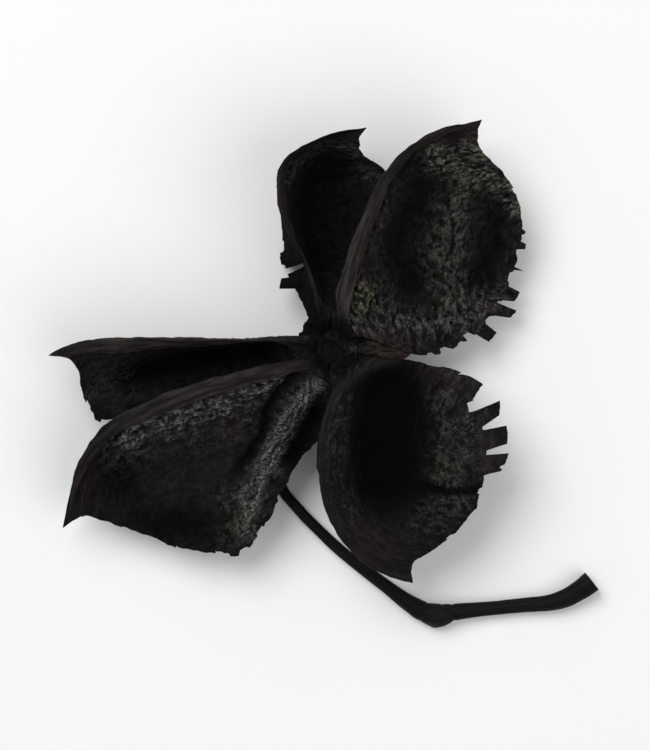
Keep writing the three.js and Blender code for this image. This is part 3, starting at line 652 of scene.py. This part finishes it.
    # rounded rims, the root and the tip
    N, M = top.shape[1], bottom.shape[1]
    grid, under = np.arange(rows * N).reshape(rows, N), rows * N + np.arange(rows * M).reshape(rows, M)
    points = [top.reshape(-1, 3), bottom.reshape(-1, 3)]
    count = rows * (N + M)
    quads, tris = [], []

    def strips(p, q):
        return np.stack([p[:-1], p[1:], q[1:], q[:-1]], 1)

    for j in range(N - 1):
        quads.append(strips(grid[:, j], grid[:, j + 1]))
    for j in range(M - 1):
        quads.append(strips(under[:, j + 1], under[:, j]))
    rims = {}
    for side, j, k in (("narrow", 0, 1), ("broad", -1, -2)):
        out = middle[:, j] - middle[:, k]
        out /= np.maximum(np.linalg.norm(out, axis=1, keepdims=True), 1e-9)
        rim = (top[:, j] + bottom[:, j]) / 2 + out * (0.25 * wall[:, None] * WALL_EDGE / WALL)
        rim[:, 2] = np.maximum(rim[:, 2], 0.0)
        ids = count + np.arange(rows)
        count += rows
        points.append(rim)
        rims[side] = ids
        if side == "broad":
            quads += [strips(grid[:, j], ids), strips(ids, under[:, j])]
        else:
            quads += [strips(ids, grid[:, j]), strips(under[:, j], ids)]
    for row, centre, turn in ((-1, place(*valve["tip"]), 1), (0, (top[0].mean(0) + bottom[0].mean(0)) / 2, -1)):
        points.append(centre[None])
        ring = np.concatenate([grid[row], [rims["broad"][row]], under[row][::-1], [rims["narrow"][row]]])
        pairs = np.stack([ring, np.roll(ring, -1), np.full(len(ring), count)], 1)
        tris.append(pairs[:, [1, 0, 2]] if turn > 0 else pairs)
        count += 1
    quads, tris, verts = np.concatenate(quads), np.concatenate(tris), np.concatenate(points)
    if check_out(verts, quads) < 0:
        quads, tris = quads[:, ::-1], tris[:, ::-1]

    def spread(inside, outside):
        """Values for the two faces, then the rims, the tip and the root."""
        return np.concatenate([inside.ravel(), outside.ravel(), (inside[:, 0] + outside[:, 0]) / 2, (inside[:, -1] + outside[:, -1]) / 2,
                               [inside[-1].mean()], [inside[0].mean()]])

    none = np.zeros_like(out_c)
    tip_out = np.broadcast_to(tipness[:, :1], out_c.shape)
    fleck = np.clip(np.clip(fuzz, 0, 1) * (0.12 + 0.42 * along_edge + (1 - 0.35 * along_edge) * step(0.34, 0.78, pile)) + (0.2 + 0.5 * np.clip(fuzz, 0, 1)) * glint_speck + 0.3 * root * step(-0.3, 0.3, s) * step(0.1, 0.45, clump), 0, 1)
    # painted shade between the raised fibres
    fibre_valley_shade = np.clip(fuzz, 0, 1) * step(0.38, 0.12, pile) + 0.35 * step(-0.05, -0.45, clump) * (1 - 0.7 * haze)
    attributes = {
        "rib": spread(np.clip(band * f["rib"] * (1 - 0.8 * root * step(-0.25, 0.25, clump)), 0, 1.2), none),
        "fuzz": spread(fleck, none + 0.03),
        # painted shade: darker in hollows, in the groove by the crest, between fibres and at the roots
        "painted_shade": spread(np.clip(f["painted_shade"] * (1 - 0.8 * band) + 0.4 * groove + 0.7 * fibre_valley_shade * (1 - band) + 0.75 * step(0.45, -0.35, s) * (1 - 0.5 * step(0.0, 0.4, clump)), 0, 1), none),
        "warm": spread(np.clip(f["warm"] + 0.8 * own * band * step(0.9, 2.0, c) * step(-0.2, 0.3, fbm(a * 0.15, 0.5, seed + 28, 2)), 0, 1), 0.35 * tip_out),
        "green": spread(np.clip(f["green"], 0, 1), none),
        "haze": spread(haze * (1 - np.clip(band * own, 0, 1)), none),
        "gloss_and_glint": spread(np.clip(f["gloss_and_glint"] + 0.25 * tipness, 0, 1), none + 0.3),
        "back": spread(zero, none + 1),
        "grain": np.stack([spread(a, out_a), spread(c, out_c), spread(zero, none + 40)], 1) + np.array([seed % 97, seed % 53, 0.0]),
    }
    return verts, quads, tris, attributes, dict(top=top, normal=normal, fuzz=fuzz, pile=pile, c=c, green=f["green"], streak=f["streak"])


def check_out(verts, quads):
    """The sign of the volume: positive when the faces point out."""
    p = verts[quads]
    v = np.einsum("ij,ij->i", p[:, 0], np.cross(p[:, 1], p[:, 2])) + np.einsum("ij,ij->i", p[:, 0], np.cross(p[:, 2], p[:, 3]))
    return v.sum()


# ------------------------------------------------------------------ materials
def material(name):
    m = bpy.data.materials.new(name)
    m.use_nodes = True
    nt = m.node_tree
    nt.nodes.clear()
    out = nt.nodes.new("ShaderNodeOutputMaterial")
    bsdf = nt.nodes.new("ShaderNodeBsdfPrincipled")
    nt.links.new(bsdf.outputs[0], out.inputs[0])
    return m, nt, bsdf


def put(nt, socket, value):
    if hasattr(value, "is_linked"):
        nt.links.new(value, socket)
    else:
        socket.default_value = value


def attr(nt, name, vector=False):
    node = nt.nodes.new("ShaderNodeAttribute")
    node.attribute_name = name
    return node.outputs["Vector" if vector else "Fac"]


def scaled(nt, vec, factors):
    node = nt.nodes.new("ShaderNodeVectorMath")
    node.operation = "MULTIPLY"
    nt.links.new(vec, node.inputs[0])
    node.inputs[1].default_value = factors
    return node.outputs[0]


def noise(nt, vec, scale, detail=3.0, rough=0.55, warp=0.0):
    node = nt.nodes.new("ShaderNodeTexNoise")
    nt.links.new(vec, node.inputs["Vector"])
    node.inputs["Scale"].default_value = scale
    node.inputs["Detail"].default_value = detail
    node.inputs["Roughness"].default_value = rough
    node.inputs["Distortion"].default_value = warp
    return node.outputs["Fac"]


def math_node(nt, op, a, b=None, clamp=False):
    node = nt.nodes.new("ShaderNodeMath")
    node.operation = op
    node.use_clamp = clamp
    put(nt, node.inputs[0], a)
    if b is not None:
        put(nt, node.inputs[1], b)
    return node.outputs[0]


def ranged(nt, value, a, b, lo=0.0, hi=1.0):
    node = nt.nodes.new("ShaderNodeMapRange")
    node.interpolation_type = "SMOOTHSTEP"
    nt.links.new(value, node.inputs["Value"])
    node.inputs["From Min"].default_value = a
    node.inputs["From Max"].default_value = b
    node.inputs["To Min"].default_value = lo
    node.inputs["To Max"].default_value = hi
    return node.outputs["Result"]


def mix(nt, fac, a, b):
    node = nt.nodes.new("ShaderNodeMix")
    node.data_type = "RGBA"
    put(nt, node.inputs[0], fac)
    for socket, value in ((node.inputs[6], a), (node.inputs[7], b)):
        put(nt, socket, value if hasattr(value, "is_linked") else (*value, 1.0))
    return node.outputs[2]


def bump(nt, height, distance, strength=1.0, normal=None):
    node = nt.nodes.new("ShaderNodeBump")
    node.inputs["Strength"].default_value = strength
    node.inputs["Distance"].default_value = distance
    nt.links.new(height, node.inputs["Height"])
    if normal is not None:
        nt.links.new(normal, node.inputs["Normal"])
    return node.outputs["Normal"]


def husk_material():
    m, nt, bsdf = material("husk_black_dyed")
    grain = attr(nt, "grain", True)
    fuzz, rib, painted_shade, warm, green, back, gloss_and_glint, haze = (attr(nt, k) for k in ("fuzz", "rib", "painted_shade", "warm", "green", "back", "gloss_and_glint", "haze"))
    cloud = noise(nt, grain, 0.28, 4.0, 0.6, 0.4)
    lines = noise(nt, scaled(nt, grain, (0.16, 1.3, 1.0)), 1.0, 4.0, 0.6, 0.3)
    fine = noise(nt, grain, 2.2, 4.0, 0.65, 0.6)
    speck = noise(nt, grain, 5.0, 2.0, 0.7, 0.2)
    # dyed skin: near black with brown and violet in it
    skin = mix(nt, ranged(nt, cloud, 0.35, 0.68), (0.0022, 0.00205, 0.0022), (0.0058, 0.0053, 0.0052))
    skin = mix(nt, math_node(nt, "MULTIPLY", ranged(nt, lines, 0.5, 0.72), 0.5), skin, (0.0105, 0.009, 0.0088))
    skin = mix(nt, math_node(nt, "MULTIPLY", ranged(nt, fine, 0.57, 0.72), 0.5), skin, (0.017, 0.0153, 0.0145))
    skin = mix(nt, math_node(nt, "MULTIPLY", haze, ranged(nt, cloud, 0.3, 0.6, 0.45, 1.0)), skin, mix(nt, ranged(nt, fine, 0.4, 0.64), (0.0085, 0.0078, 0.0082), (0.0235, 0.022, 0.0218)))
    # the back: leathery, a little browner
    leather = mix(nt, ranged(nt, lines, 0.38, 0.66), (0.0068, 0.006, 0.0058), (0.021, 0.018, 0.0164))
    leather = mix(nt, math_node(nt, "MULTIPLY", ranged(nt, speck, 0.6, 0.74), 0.5), leather, (0.033, 0.0288, 0.0262))
    leather = mix(nt, math_node(nt, "MULTIPLY", ranged(nt, cloud, 0.56, 0.4), 0.6), leather, (0.0062, 0.0056, 0.0055))
    skin = mix(nt, back, skin, leather)
    # pinkish-brown smooth skin by the tips and along the crest
    pink = mix(nt, ranged(nt, lines, 0.4, 0.66), (0.0088, 0.0054, 0.0057), (0.033, 0.0205, 0.0206))
    skin = mix(nt, math_node(nt, "MULTIPLY", warm, 0.8), skin, pink)
    ribcol = mix(nt, ranged(nt, lines, 0.36, 0.66), (0.0125, 0.0109, 0.0099), (0.052, 0.0462, 0.0412))
    ribcol = mix(nt, math_node(nt, "MULTIPLY", warm, 0.75), ribcol, mix(nt, ranged(nt, lines, 0.36, 0.66), (0.0125, 0.0085, 0.0082), (0.043, 0.0305, 0.0285)))
    skin = mix(nt, math_node(nt, "MULTIPLY", rib, 0.85, True), skin, ribcol)
    # matted fibres, pale where they stand up
    pale = mix(nt, ranged(nt, fine, 0.36, 0.66), (0.0125, 0.0116, 0.0104), (0.086, 0.081, 0.0725))
    pale = mix(nt, math_node(nt, "MULTIPLY", green, 0.9), pale, mix(nt, ranged(nt, fine, 0.36, 0.66), (0.018, 0.0182, 0.0092), (0.1, 0.1, 0.055)))
    pale = mix(nt, math_node(nt, "MULTIPLY", warm, 0.45), pale, mix(nt, ranged(nt, fine, 0.36, 0.66), (0.0135, 0.0102, 0.0104), (0.07, 0.0565, 0.0555)))
    # painted glints: fibres on the smooth, shiny skin are painted near white
    pale = mix(nt, math_node(nt, "MULTIPLY", ranged(nt, gloss_and_glint, 0.3, 0.9), ranged(nt, fine, 0.4, 0.6)), pale, mix(nt, green, (0.185, 0.18, 0.168), (0.17, 0.168, 0.105)))
    shown = math_node(nt, "MULTIPLY", fuzz, ranged(nt, speck, 0.3, 0.62, 0.55, 1.15), True)
    skin = mix(nt, shown, skin, pale)
    # painted shade: hollows, creases, fibre valleys, the valves' roots and halves turned from the light are darkened to
    # near black
    skin = mix(nt, math_node(nt, "MULTIPLY", painted_shade, 0.86), skin, (0.0011, 0.001, 0.0012))
    put(nt, bsdf.inputs["Base Color"], skin)
    rough = ranged(nt, fine, 0.3, 0.7, 0.52, 0.8)
    rough = math_node(nt, "SUBTRACT", rough, math_node(nt, "MULTIPLY", gloss_and_glint, 0.24))
    rough = math_node(nt, "ADD", rough, math_node(nt, "MULTIPLY", painted_shade, 0.55), True)
    put(nt, bsdf.inputs["Roughness"], rough)
    bsdf.inputs["Specular IOR Level"].default_value = 0.06
    height = math_node(nt, "ADD", math_node(nt, "MULTIPLY", lines, 0.6), math_node(nt, "ADD", fine, math_node(nt, "MULTIPLY", speck, 0.5)))
    put(nt, bsdf.inputs["Normal"], bump(nt, height, 0.0002, 0.8))
    return m


def lint_material():
    m, nt, bsdf = material("lint_dyed")
    grain = attr(nt, "grain", True)
    green = attr(nt, "green")
    fine = noise(nt, grain, 0.6, 3.0, 0.6)
    col = mix(nt, ranged(nt, fine, 0.3, 0.7), (0.0125, 0.0117, 0.0105), (0.062, 0.058, 0.051))
    col = mix(nt, math_node(nt, "MULTIPLY", green, 0.8), col, (0.066, 0.066, 0.037))
    put(nt, bsdf.inputs["Base Color"], col)
    put(nt, bsdf.inputs["Roughness"], ranged(nt, fine, 0.3, 0.7, 0.6, 0.8))
    bsdf.inputs["Specular IOR Level"].default_value = 0.08
    return m


def base_material():
    m, nt, bsdf = material("receptacle_bark")
    grain = attr(nt, "grain", True)
    warm, green, pale = attr(nt, "warm"), attr(nt, "green"), attr(nt, "pale")
    lines = noise(nt, scaled(nt, grain, (0.3, 2.0, 1.0)), 1.0, 4.0, 0.6, 0.5)
    fine = noise(nt, grain, 2.2, 4.0, 0.65, 0.5)
    col = mix(nt, ranged(nt, fine, 0.38, 0.68), (0.0014, 0.0013, 0.0013), (0.0042, 0.0038, 0.0036))
    col = mix(nt, math_node(nt, "MULTIPLY", green, 0.7), col, mix(nt, ranged(nt, fine, 0.4, 0.7), (0.0016, 0.0018, 0.0015), (0.005, 0.0053, 0.0042)))
    col = mix(nt, math_node(nt, "MULTIPLY", warm, 0.85), col, mix(nt, ranged(nt, lines, 0.38, 0.66), (0.0075, 0.0052, 0.0045), (0.041, 0.0288, 0.0232)))
    # painted glint on the knob; the few specks around it are pale fibres
    col = mix(nt, math_node(nt, "MULTIPLY", pale, ranged(nt, fine, 0.44, 0.64)), col, (0.045, 0.0425, 0.037))
    put(nt, bsdf.inputs["Base Color"], col)
    put(nt, bsdf.inputs["Roughness"], ranged(nt, fine, 0.3, 0.7, 0.58, 0.85))
    bsdf.inputs["Specular IOR Level"].default_value = 0.06
    height = math_node(nt, "ADD", lines, math_node(nt, "MULTIPLY", fine, 0.8))
    put(nt, bsdf.inputs["Normal"], bump(nt, height, 0.0002, 0.7))
    return m


def stem_material():
    m, nt, bsdf = material("stem_bark")
    grain = attr(nt, "grain", True)
    scar = attr(nt, "warm")
    lines = noise(nt, scaled(nt, grain, (0.14, 2.4, 2.4)), 1.0, 4.0, 0.6, 0.2)
    cloud = noise(nt, grain, 0.35, 3.0, 0.55, 0.3)
    fine = noise(nt, scaled(nt, grain, (1.0, 2.0, 2.0)), 2.2, 3.0, 0.6, 0.3)
    col = mix(nt, ranged(nt, lines, 0.36, 0.66), (0.0024, 0.0022, 0.0021), (0.0088, 0.0079, 0.0074))
    col = mix(nt, math_node(nt, "MULTIPLY", ranged(nt, cloud, 0.5, 0.72), 0.5), col, (0.0082, 0.0068, 0.006))
    col = mix(nt, math_node(nt, "MULTIPLY", ranged(nt, fine, 0.6, 0.74), 0.55), col, (0.0135, 0.0122, 0.0113))
    col = mix(nt, math_node(nt, "MULTIPLY", scar, 0.7), col, mix(nt, ranged(nt, fine, 0.35, 0.7), (0.0055, 0.0045, 0.004), (0.021, 0.018, 0.0152)))
    put(nt, bsdf.inputs["Base Color"], col)
    put(nt, bsdf.inputs["Roughness"], ranged(nt, lines, 0.3, 0.7, 0.5, 0.75))
    bsdf.inputs["Specular IOR Level"].default_value = 0.08
    height = math_node(nt, "ADD", lines, math_node(nt, "MULTIPLY", fine, 0.4))
    put(nt, bsdf.inputs["Normal"], bump(nt, height, 0.00014, 0.7))
    return m


# ------------------------------------------------------------------ lint
def lint_mesh(grid, count, seed):
    """Short fibres matted down on a valve's inner face, each a thin closed tube with its ends in the surface."""
    rng = np.random.default_rng(seed)
    top, normal = grid["top"], grid["normal"]
    weight = np.clip(grid["fuzz"] - 0.25, 0, 1) * (0.15 + grid["pile"]) * (grid["c"] > 2.4)
    rows, cols = weight.shape
    size_i = np.linalg.norm(np.gradient(top, axis=0), axis=2) + 1e-6
    size_j = np.linalg.norm(np.gradient(top, axis=1), axis=2) + 1e-6
    prob = (weight * size_i * size_j).ravel()
    picks = rng.choice(rows * cols, count, p=prob / prob.sum())
    segs, sides = 5, 3
    fi, fj = picks // cols + rng.random(count), picks % cols + rng.random(count)
    streak = grid["streak"].ravel()[picks] if np.ndim(grid["streak"]) else np.zeros(count)
    heading = np.where(rng.random(count) < streak, rng.normal(0, 0.3, count) + math.pi * rng.integers(0, 2, count), rng.uniform(0, 2 * math.pi, count))
    length, radius = rng.uniform(0.35, 1.1, count), rng.uniform(0.025, 0.05, count)
    curl, lift = rng.normal(0, 0.3, count), rng.uniform(0.05, 0.2, count)
    pts = np.zeros((count, segs, 3))
    for k in range(segs):
        i0, j0 = np.clip(fi, 0, rows - 2).astype(int), np.clip(fj, 0, cols - 2).astype(int)
        wi, wj = np.clip(fi - i0, 0, 1)[:, None], np.clip(fj - j0, 0, 1)[:, None]
        p = top[i0, j0] * (1 - wi) * (1 - wj) + top[i0 + 1, j0] * wi * (1 - wj) + top[i0, j0 + 1] * (1 - wi) * wj + top[i0 + 1, j0 + 1] * wi * wj
        h = lift * math.sin(math.pi * k / (segs - 1)) - 0.04
        pts[:, k] = p + normal[i0, j0] * h[:, None]
        seg = length / (segs - 1)
        fi = fi + seg * np.cos(heading) / size_i[i0, j0]
        fj = fj + seg * np.sin(heading) / size_j[i0, j0]
        heading = heading + curl + rng.normal(0, 0.2, count)
    keep = np.linalg.norm(np.diff(pts, axis=1), axis=2).max(1) < 0.9
    pts, radius, picks, count = pts[keep], radius[keep], picks[keep], int(keep.sum())
    tang = np.gradient(pts, axis=1)
    tang /= np.maximum(np.linalg.norm(tang, axis=2, keepdims=True), 1e-9)
    side = np.cross(tang, [0.31, 0.22, 0.92])
    side /= np.maximum(np.linalg.norm(side, axis=2, keepdims=True), 1e-9)
    up = np.cross(side, tang)
    taper = radius[:, None] * np.array([0.6, 1, 1, 0.9, 0.5])
    ang = 2 * math.pi * np.arange(sides) / sides
    ring = pts[:, :, None] + (side[:, :, None] * np.cos(ang)[:, None] + up[:, :, None] * np.sin(ang)[:, None]) * taper[:, :, None, None]
    verts = ring.reshape(-1, 3)
    ids = np.arange(count * segs * sides).reshape(count, segs, sides)
    nxt = np.roll(ids, -1, axis=2)
    quads = np.stack([ids[:, :-1], nxt[:, :-1], nxt[:, 1:], ids[:, 1:]], -1).reshape(-1, 4)
    tris = np.concatenate([ids[:, 0, ::-1], ids[:, -1]])
    tint = np.repeat(rng.uniform(0, 60, (count, 3)), segs * sides, axis=0)
    green = np.repeat((grid["green"].ravel() if np.ndim(grid["green"]) else np.zeros(rows * cols))[picks], segs * sides)
    return verts, quads, tris, {"grain": tint + verts * 0.3, "green": green}


# ------------------------------------------------------------------ receptacle and stem
def receptacle_mesh():
    turns, inner_rings, outer_rings = 200, 60, 34
    theta = np.linspace(0, 2 * math.pi, turns, endpoint=False)
    hub = place(HUB[0], HUB[1], 0.0)
    saddle = np.exp(-(((np.angle(np.exp(1j * (theta - math.radians(-3.5))))) / math.radians(15)) ** 2))
    notch = np.exp(-(((np.angle(np.exp(1j * (theta - math.radians(146))))) / math.radians(26)) ** 2))
    cx, cy = np.cos(theta), np.sin(theta)
    rag = 0.5 * perlin(theta * 3.2, 0.4, 71) + 0.35 * perlin(theta * 8.5, 0.9, 72) + 0.22 * perlin(theta * 19, 1.3, 73)
    rim = 5.6 + 7.0 * saddle + 0.5 * notch + rag * (0.7 + 0.8 * notch)
    top, bottom = [], []
    for k in range(inner_rings):
        q = (k + 0.6) / (inner_rings - 0.4)
        r = rim * q
        X, Y = r * cx, r * cy
        mound = 15.45 - 0.4 * np.exp(-((r / 1.2) ** 2)) - 1.2 * step(2.2, 5.2, r)
        web = 15.7 - 0.3 * np.clip(r - 4.4, 0, 20) - 0.012 * np.clip(r - 4.4, 0, 20) ** 2
        w = step(2.6, 4.8, r) * np.clip(saddle * 1.3, 0, 1)
        z = mound * (1 - w) + web * w
        lumps = 0.7 * fbm(X * 0.42, Y * 0.42, 74, 3) + 0.22 * (ridged(X * 0.6 + 0.3 * perlin(X * 0.6, Y * 0.6, 80), Y * 0.6, 75, 2) - 0.35)
        z = z + lumps * (1 - 0.55 * w) * step(0.1, 1.0, r)
        z = z + w * (0.34 * ridged(X * 0.16, Y * 1.0 + 0.1 * X, 76, 2) - 0.15 + 0.22 * np.exp(-((Y / 2.2) ** 2)))
        knob = np.exp(-(((X - 3.2) ** 2 + (Y + 0.6) ** 2) / 0.9**2))
        z = z + 0.8 * knob + 0.3 * knob * ridged(X * 1.2, Y * 1.2, 77, 1)
        top.append(np.stack([hub[0] + X, hub[1] + Y, z], 1))
    edge = np.stack([hub[0] + (rim + 0.12) * cx, hub[1] + (rim + 0.12) * cy, top[-1][:, 2] - 0.3], 1)
    for k in range(outer_rings):
        q = k / (outer_rings - 1)
        r = rim * (1 - q) + 1.9 * q
        under = top[-1][:, 2] - 0.62
        shape = np.clip((rim - r) / (rim - 1.9), 0, 1)
        z = under * (1 - shape**0.8) + 9.75 * shape**0.8
        X, Y = r * cx, r * cy
        z = z + (0.2 * fbm(X * 0.5, Y * 0.5, 78, 3) + 0.12 * np.cos(theta * 15 + perlin(r, 0.5, 79))) * np.sin(math.pi * q)
        bottom.append(np.stack([hub[0] + X, hub[1] + Y, z], 1))
    rings = top + [edge] + bottom
    points = np.concatenate(rings + [np.array([[hub[0], hub[1], top[0][:, 2].mean()]]), np.array([[hub[0], hub[1], 9.72]])])
    ids = np.arange(len(rings) * turns).reshape(len(rings), turns)
    nxt = np.roll(ids, -1, axis=1)
    quads = np.stack([ids[:-1], ids[1:], nxt[1:], nxt[:-1]], -1).reshape(-1, 4)
    first, last = len(rings) * turns, len(rings) * turns + 1
    tris = np.concatenate([np.stack([np.full(turns, first), ids[0], nxt[0]], 1), np.stack([np.full(turns, last), nxt[-1], ids[-1]], 1)])
    rel = points - np.array([hub[0], hub[1], 0])
    r = np.hypot(rel[:, 0], rel[:, 1])
    on_top = np.concatenate([np.ones(inner_rings * turns), np.zeros(len(points) - inner_rings * turns)])
    sad = np.exp(-((np.arctan2(rel[:, 1], rel[:, 0]) - math.radians(-3.5)) / math.radians(22)) ** 2)
    knob = np.exp(-(((rel[:, 0] - 3.2) ** 2 + (rel[:, 1] + 0.6) ** 2) / 1.2**2))
    attributes = {
        "warm": np.clip(on_top * sad * step(4.2, 6.0, r), 0, 1),
        "green": np.clip(on_top * step(5.5, 3.5, r) * (0.55 + 0.9 * fbm(rel[:, 0] * 0.4, rel[:, 1] * 0.4, 81, 2)), 0, 1),
        # the knob is painted pale as a glint; the faint specks around it are pale fibres
        "pale": np.clip(on_top * (0.9 * knob + 0.14 * step(0.1, 0.5, fbm(rel[:, 0] * 0.42, rel[:, 1] * 0.42, 74, 3))), 0, 1),
        "grain": rel,
    }
    return points, quads, tris, attributes


def stem_mesh():
    steps, sides = 460, 26
    rows = np.array(STEM)
    ctrl = place(rows[:, 0], rows[:, 1], rows[:, 2])
    t = np.linspace(0, 1, steps)
    B = basis(len(rows), t)
    line, radius = B @ ctrl, B @ rows[:, 3]
    dist = np.concatenate([[0], np.cumsum(np.linalg.norm(np.diff(line, axis=0), axis=1))])
    # a frame carried along the stem's line
    tang = np.gradient(line, axis=0)
    tang /= np.linalg.norm(tang, axis=1, keepdims=True)
    side = np.zeros_like(line)
    s = np.array([1.0, 0, 0])
    for k in range(steps):
        s = s - tang[k] * (s @ tang[k])
        s /= np.linalg.norm(s)
        side[k] = s
    up = np.cross(tang, side)
    ang = np.linspace(0, 2 * math.pi, sides, endpoint=False)
    node_at = dist[np.argmin(np.linalg.norm(line - place(389.2, 356.4, 2.0), axis=1))]
    D, A = np.meshgrid(dist, ang, indexing="ij")
    cosA, sinA = np.cos(A), np.sin(A)
    scale = 1 + 0.05 * fbm(D * 0.25, cosA * 1.6 + 3, 91, 2) + 0.045 * ridged(D * 0.09 + 0.2 * sinA, cosA * 2.4 + 7, 92, 2)
    scale = scale + 0.06 * fbm(D * 0.1, sinA * 2.5 + 1, 93, 3)
    swell = np.exp(-(((D - node_at) / 1.6) ** 2))
    scale = scale + swell * (0.1 * fbm(D * 0.9, cosA * 1.5, 94, 3) + 0.06 * np.cos(3 * A + 1.0))
    scale = scale - 0.1 * np.exp(-(((D - node_at - 2.5) / 0.35) ** 2)) - 0.07 * np.exp(-(((D - node_at + 2.6) / 0.3) ** 2))
    # the old leaf's scar, a low shield on the swollen joint's outer side
    scar = np.exp(-(((D - node_at + 0.2) / 0.9) ** 2) - ((np.angle(np.exp(1j * (A - 4.2)))) / 0.55) ** 2)
    scale = scale + 0.16 * scar
    end = step(dist[-1] - 1.4, dist[-1], D)
    scale = scale + end * (0.08 * fbm(cosA * 2.2, sinA * 2.2, 95, 2))
    R = radius[:, None] * scale
    pts = line[:, None] + R[..., None] * (cosA[..., None] * side[:, None] + sinA[..., None] * up[:, None])
    # the broken end: a rough, slightly hollow face
    caps = []
    for q in (0.82, 0.55, 0.28):
        ring = line[-1] + (pts[-1] - line[-1]) * q
        depth = 0.18 * perlin(np.cos(ang) * 2 * q + 4, np.sin(ang) * 2 * q + 2, 96) - 0.22 * (1 - q)
        caps.append(ring + tang[-1] * depth[:, None])
    rings = np.concatenate([pts, np.array(caps)])
    rings[..., 2] = np.maximum(rings[..., 2], 0.0)
    count = len(rings)
    points = np.concatenate([rings.reshape(-1, 3), line[:1], line[-1:] - tang[-1:] * 0.3])
    ids = np.arange(count * sides).reshape(count, sides)
    nxt = np.roll(ids, -1, axis=1)
    quads = np.stack([ids[:-1], nxt[:-1], nxt[1:], ids[1:]], -1).reshape(-1, 4)
    first, last = count * sides, count * sides + 1
    tris = np.concatenate([np.stack([np.full(sides, first), nxt[0], ids[0]], 1), np.stack([np.full(sides, last), ids[-1], nxt[-1]], 1)])
    far = np.concatenate([D, np.repeat(D[-1:], 3, 0) + 0.3])
    grain = np.stack([np.concatenate([far.ravel(), [0, dist[-1]]]), np.concatenate([np.tile(np.cos(ang) * 1.2, count), [0, 0]]), np.concatenate([np.tile(np.sin(ang) * 1.2, count), [0, 0]])], 1)
    warm = np.concatenate([np.concatenate([scar * 0.8 + 0.3 * swell, np.ones((3, sides))]).ravel(), [0, 1]])
    return points, quads, tris, {"grain": grain, "warm": np.clip(warm, 0, 1)}


# ------------------------------------------------------------------ make the pieces
HUSK, LINT, BASE, BARK = husk_material(), lint_material(), base_material(), stem_material()
LINT_COUNT = {"valve_upper_right": 900, "valve_lower_left": 800, "valve_lower_right": 700, "valve_upper_left": 160, "valve_left": 160}
for number, name in enumerate(VALVES):
    verts, quads, tris, attributes, grid = valve_mesh(name)
    piece = build(name + "_husk", verts, quads, tris, attributes, [HUSK])
    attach(piece, "root")
    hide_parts(name)
    verts, quads, tris, attributes = lint_mesh(grid, LINT_COUNT[name], 400 + number)
    piece = build(name.replace("valve", "lint"), verts, quads, tris, attributes, [LINT])
    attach(piece, "root")

for name, (verts, quads, tris, attributes), mat, slot in (
    ("receptacle", receptacle_mesh(), BASE, "base"),
    ("stem", stem_mesh(), BARK, "stem"),
):
    if check_out(verts, quads) < 0:
        quads, tris = quads[:, ::-1], tris[:, ::-1]
    piece = build(name + "_bark", verts, quads, tris, attributes, [mat])
    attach(piece, "root")
    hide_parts(name)

# ------------------------------------------------------------------ floor, light, camera
floor_mesh = bpy.data.meshes.new("floor")
floor_mesh.from_pydata([(-3, -3, 0), (3, -3, 0), (3, 3, 0), (-3, 3, 0)], [], [(0, 1, 2, 3)])
floor = bpy.data.objects.new("floor", floor_mesh)
bpy.context.scene.collection.objects.link(floor)
fm, fnt, fb = material("floor_paper")
coords = fnt.nodes.new("ShaderNodeTexCoord").outputs["Object"]
put(fnt, fb.inputs["Base Color"], mix(fnt, noise(fnt, coords, 9.0, 3.0, 0.5), (0.86, 0.86, 0.86), (0.88, 0.88, 0.88)))
fb.inputs["Roughness"].default_value = 0.9
fb.inputs["Specular IOR Level"].default_value = 0.1
floor_mesh.materials.append(fm)

scene = bpy.context.scene
world = bpy.data.worlds.new("studio")
scene.world = world
world.use_nodes = True
world.node_tree.nodes["Background"].inputs["Color"].default_value = (1.0, 1.0, 1.0, 1.0)
world.node_tree.nodes["Background"].inputs["Strength"].default_value = 0.36


def softbox(name, location, size, power):
    light = bpy.data.lights.new(name, "AREA")
    light.shape = "DISK"
    light.size = size
    light.energy = power
    obj = bpy.data.objects.new(name, light)
    obj.location = location
    direction = -np.array(location, float)
    from mathutils import Vector
    obj.rotation_mode = "QUATERNION"
    obj.rotation_quaternion = Vector(direction).to_track_quat("-Z", "Y")
    scene.collection.objects.link(obj)


softbox("key", (-0.38, 0.45, 0.85), 0.75, 7.5)
softbox("fill", (0.5, -0.3, 0.8), 0.9, 3.2)

cam = bpy.data.cameras.new("camera")
cam.lens = 200.0
cam.sensor_width = 36.0
cam.clip_start, cam.clip_end = 0.05, 20.0
camera = bpy.data.objects.new("camera", cam)
camera.location = (0.0, 0.0, 0.71)
camera.rotation_euler = (0.0, 0.0, 0.0)
scene.collection.objects.link(camera)
scene.camera = camera
scene.view_settings.view_transform = "Standard"
scene.view_settings.look = "None"
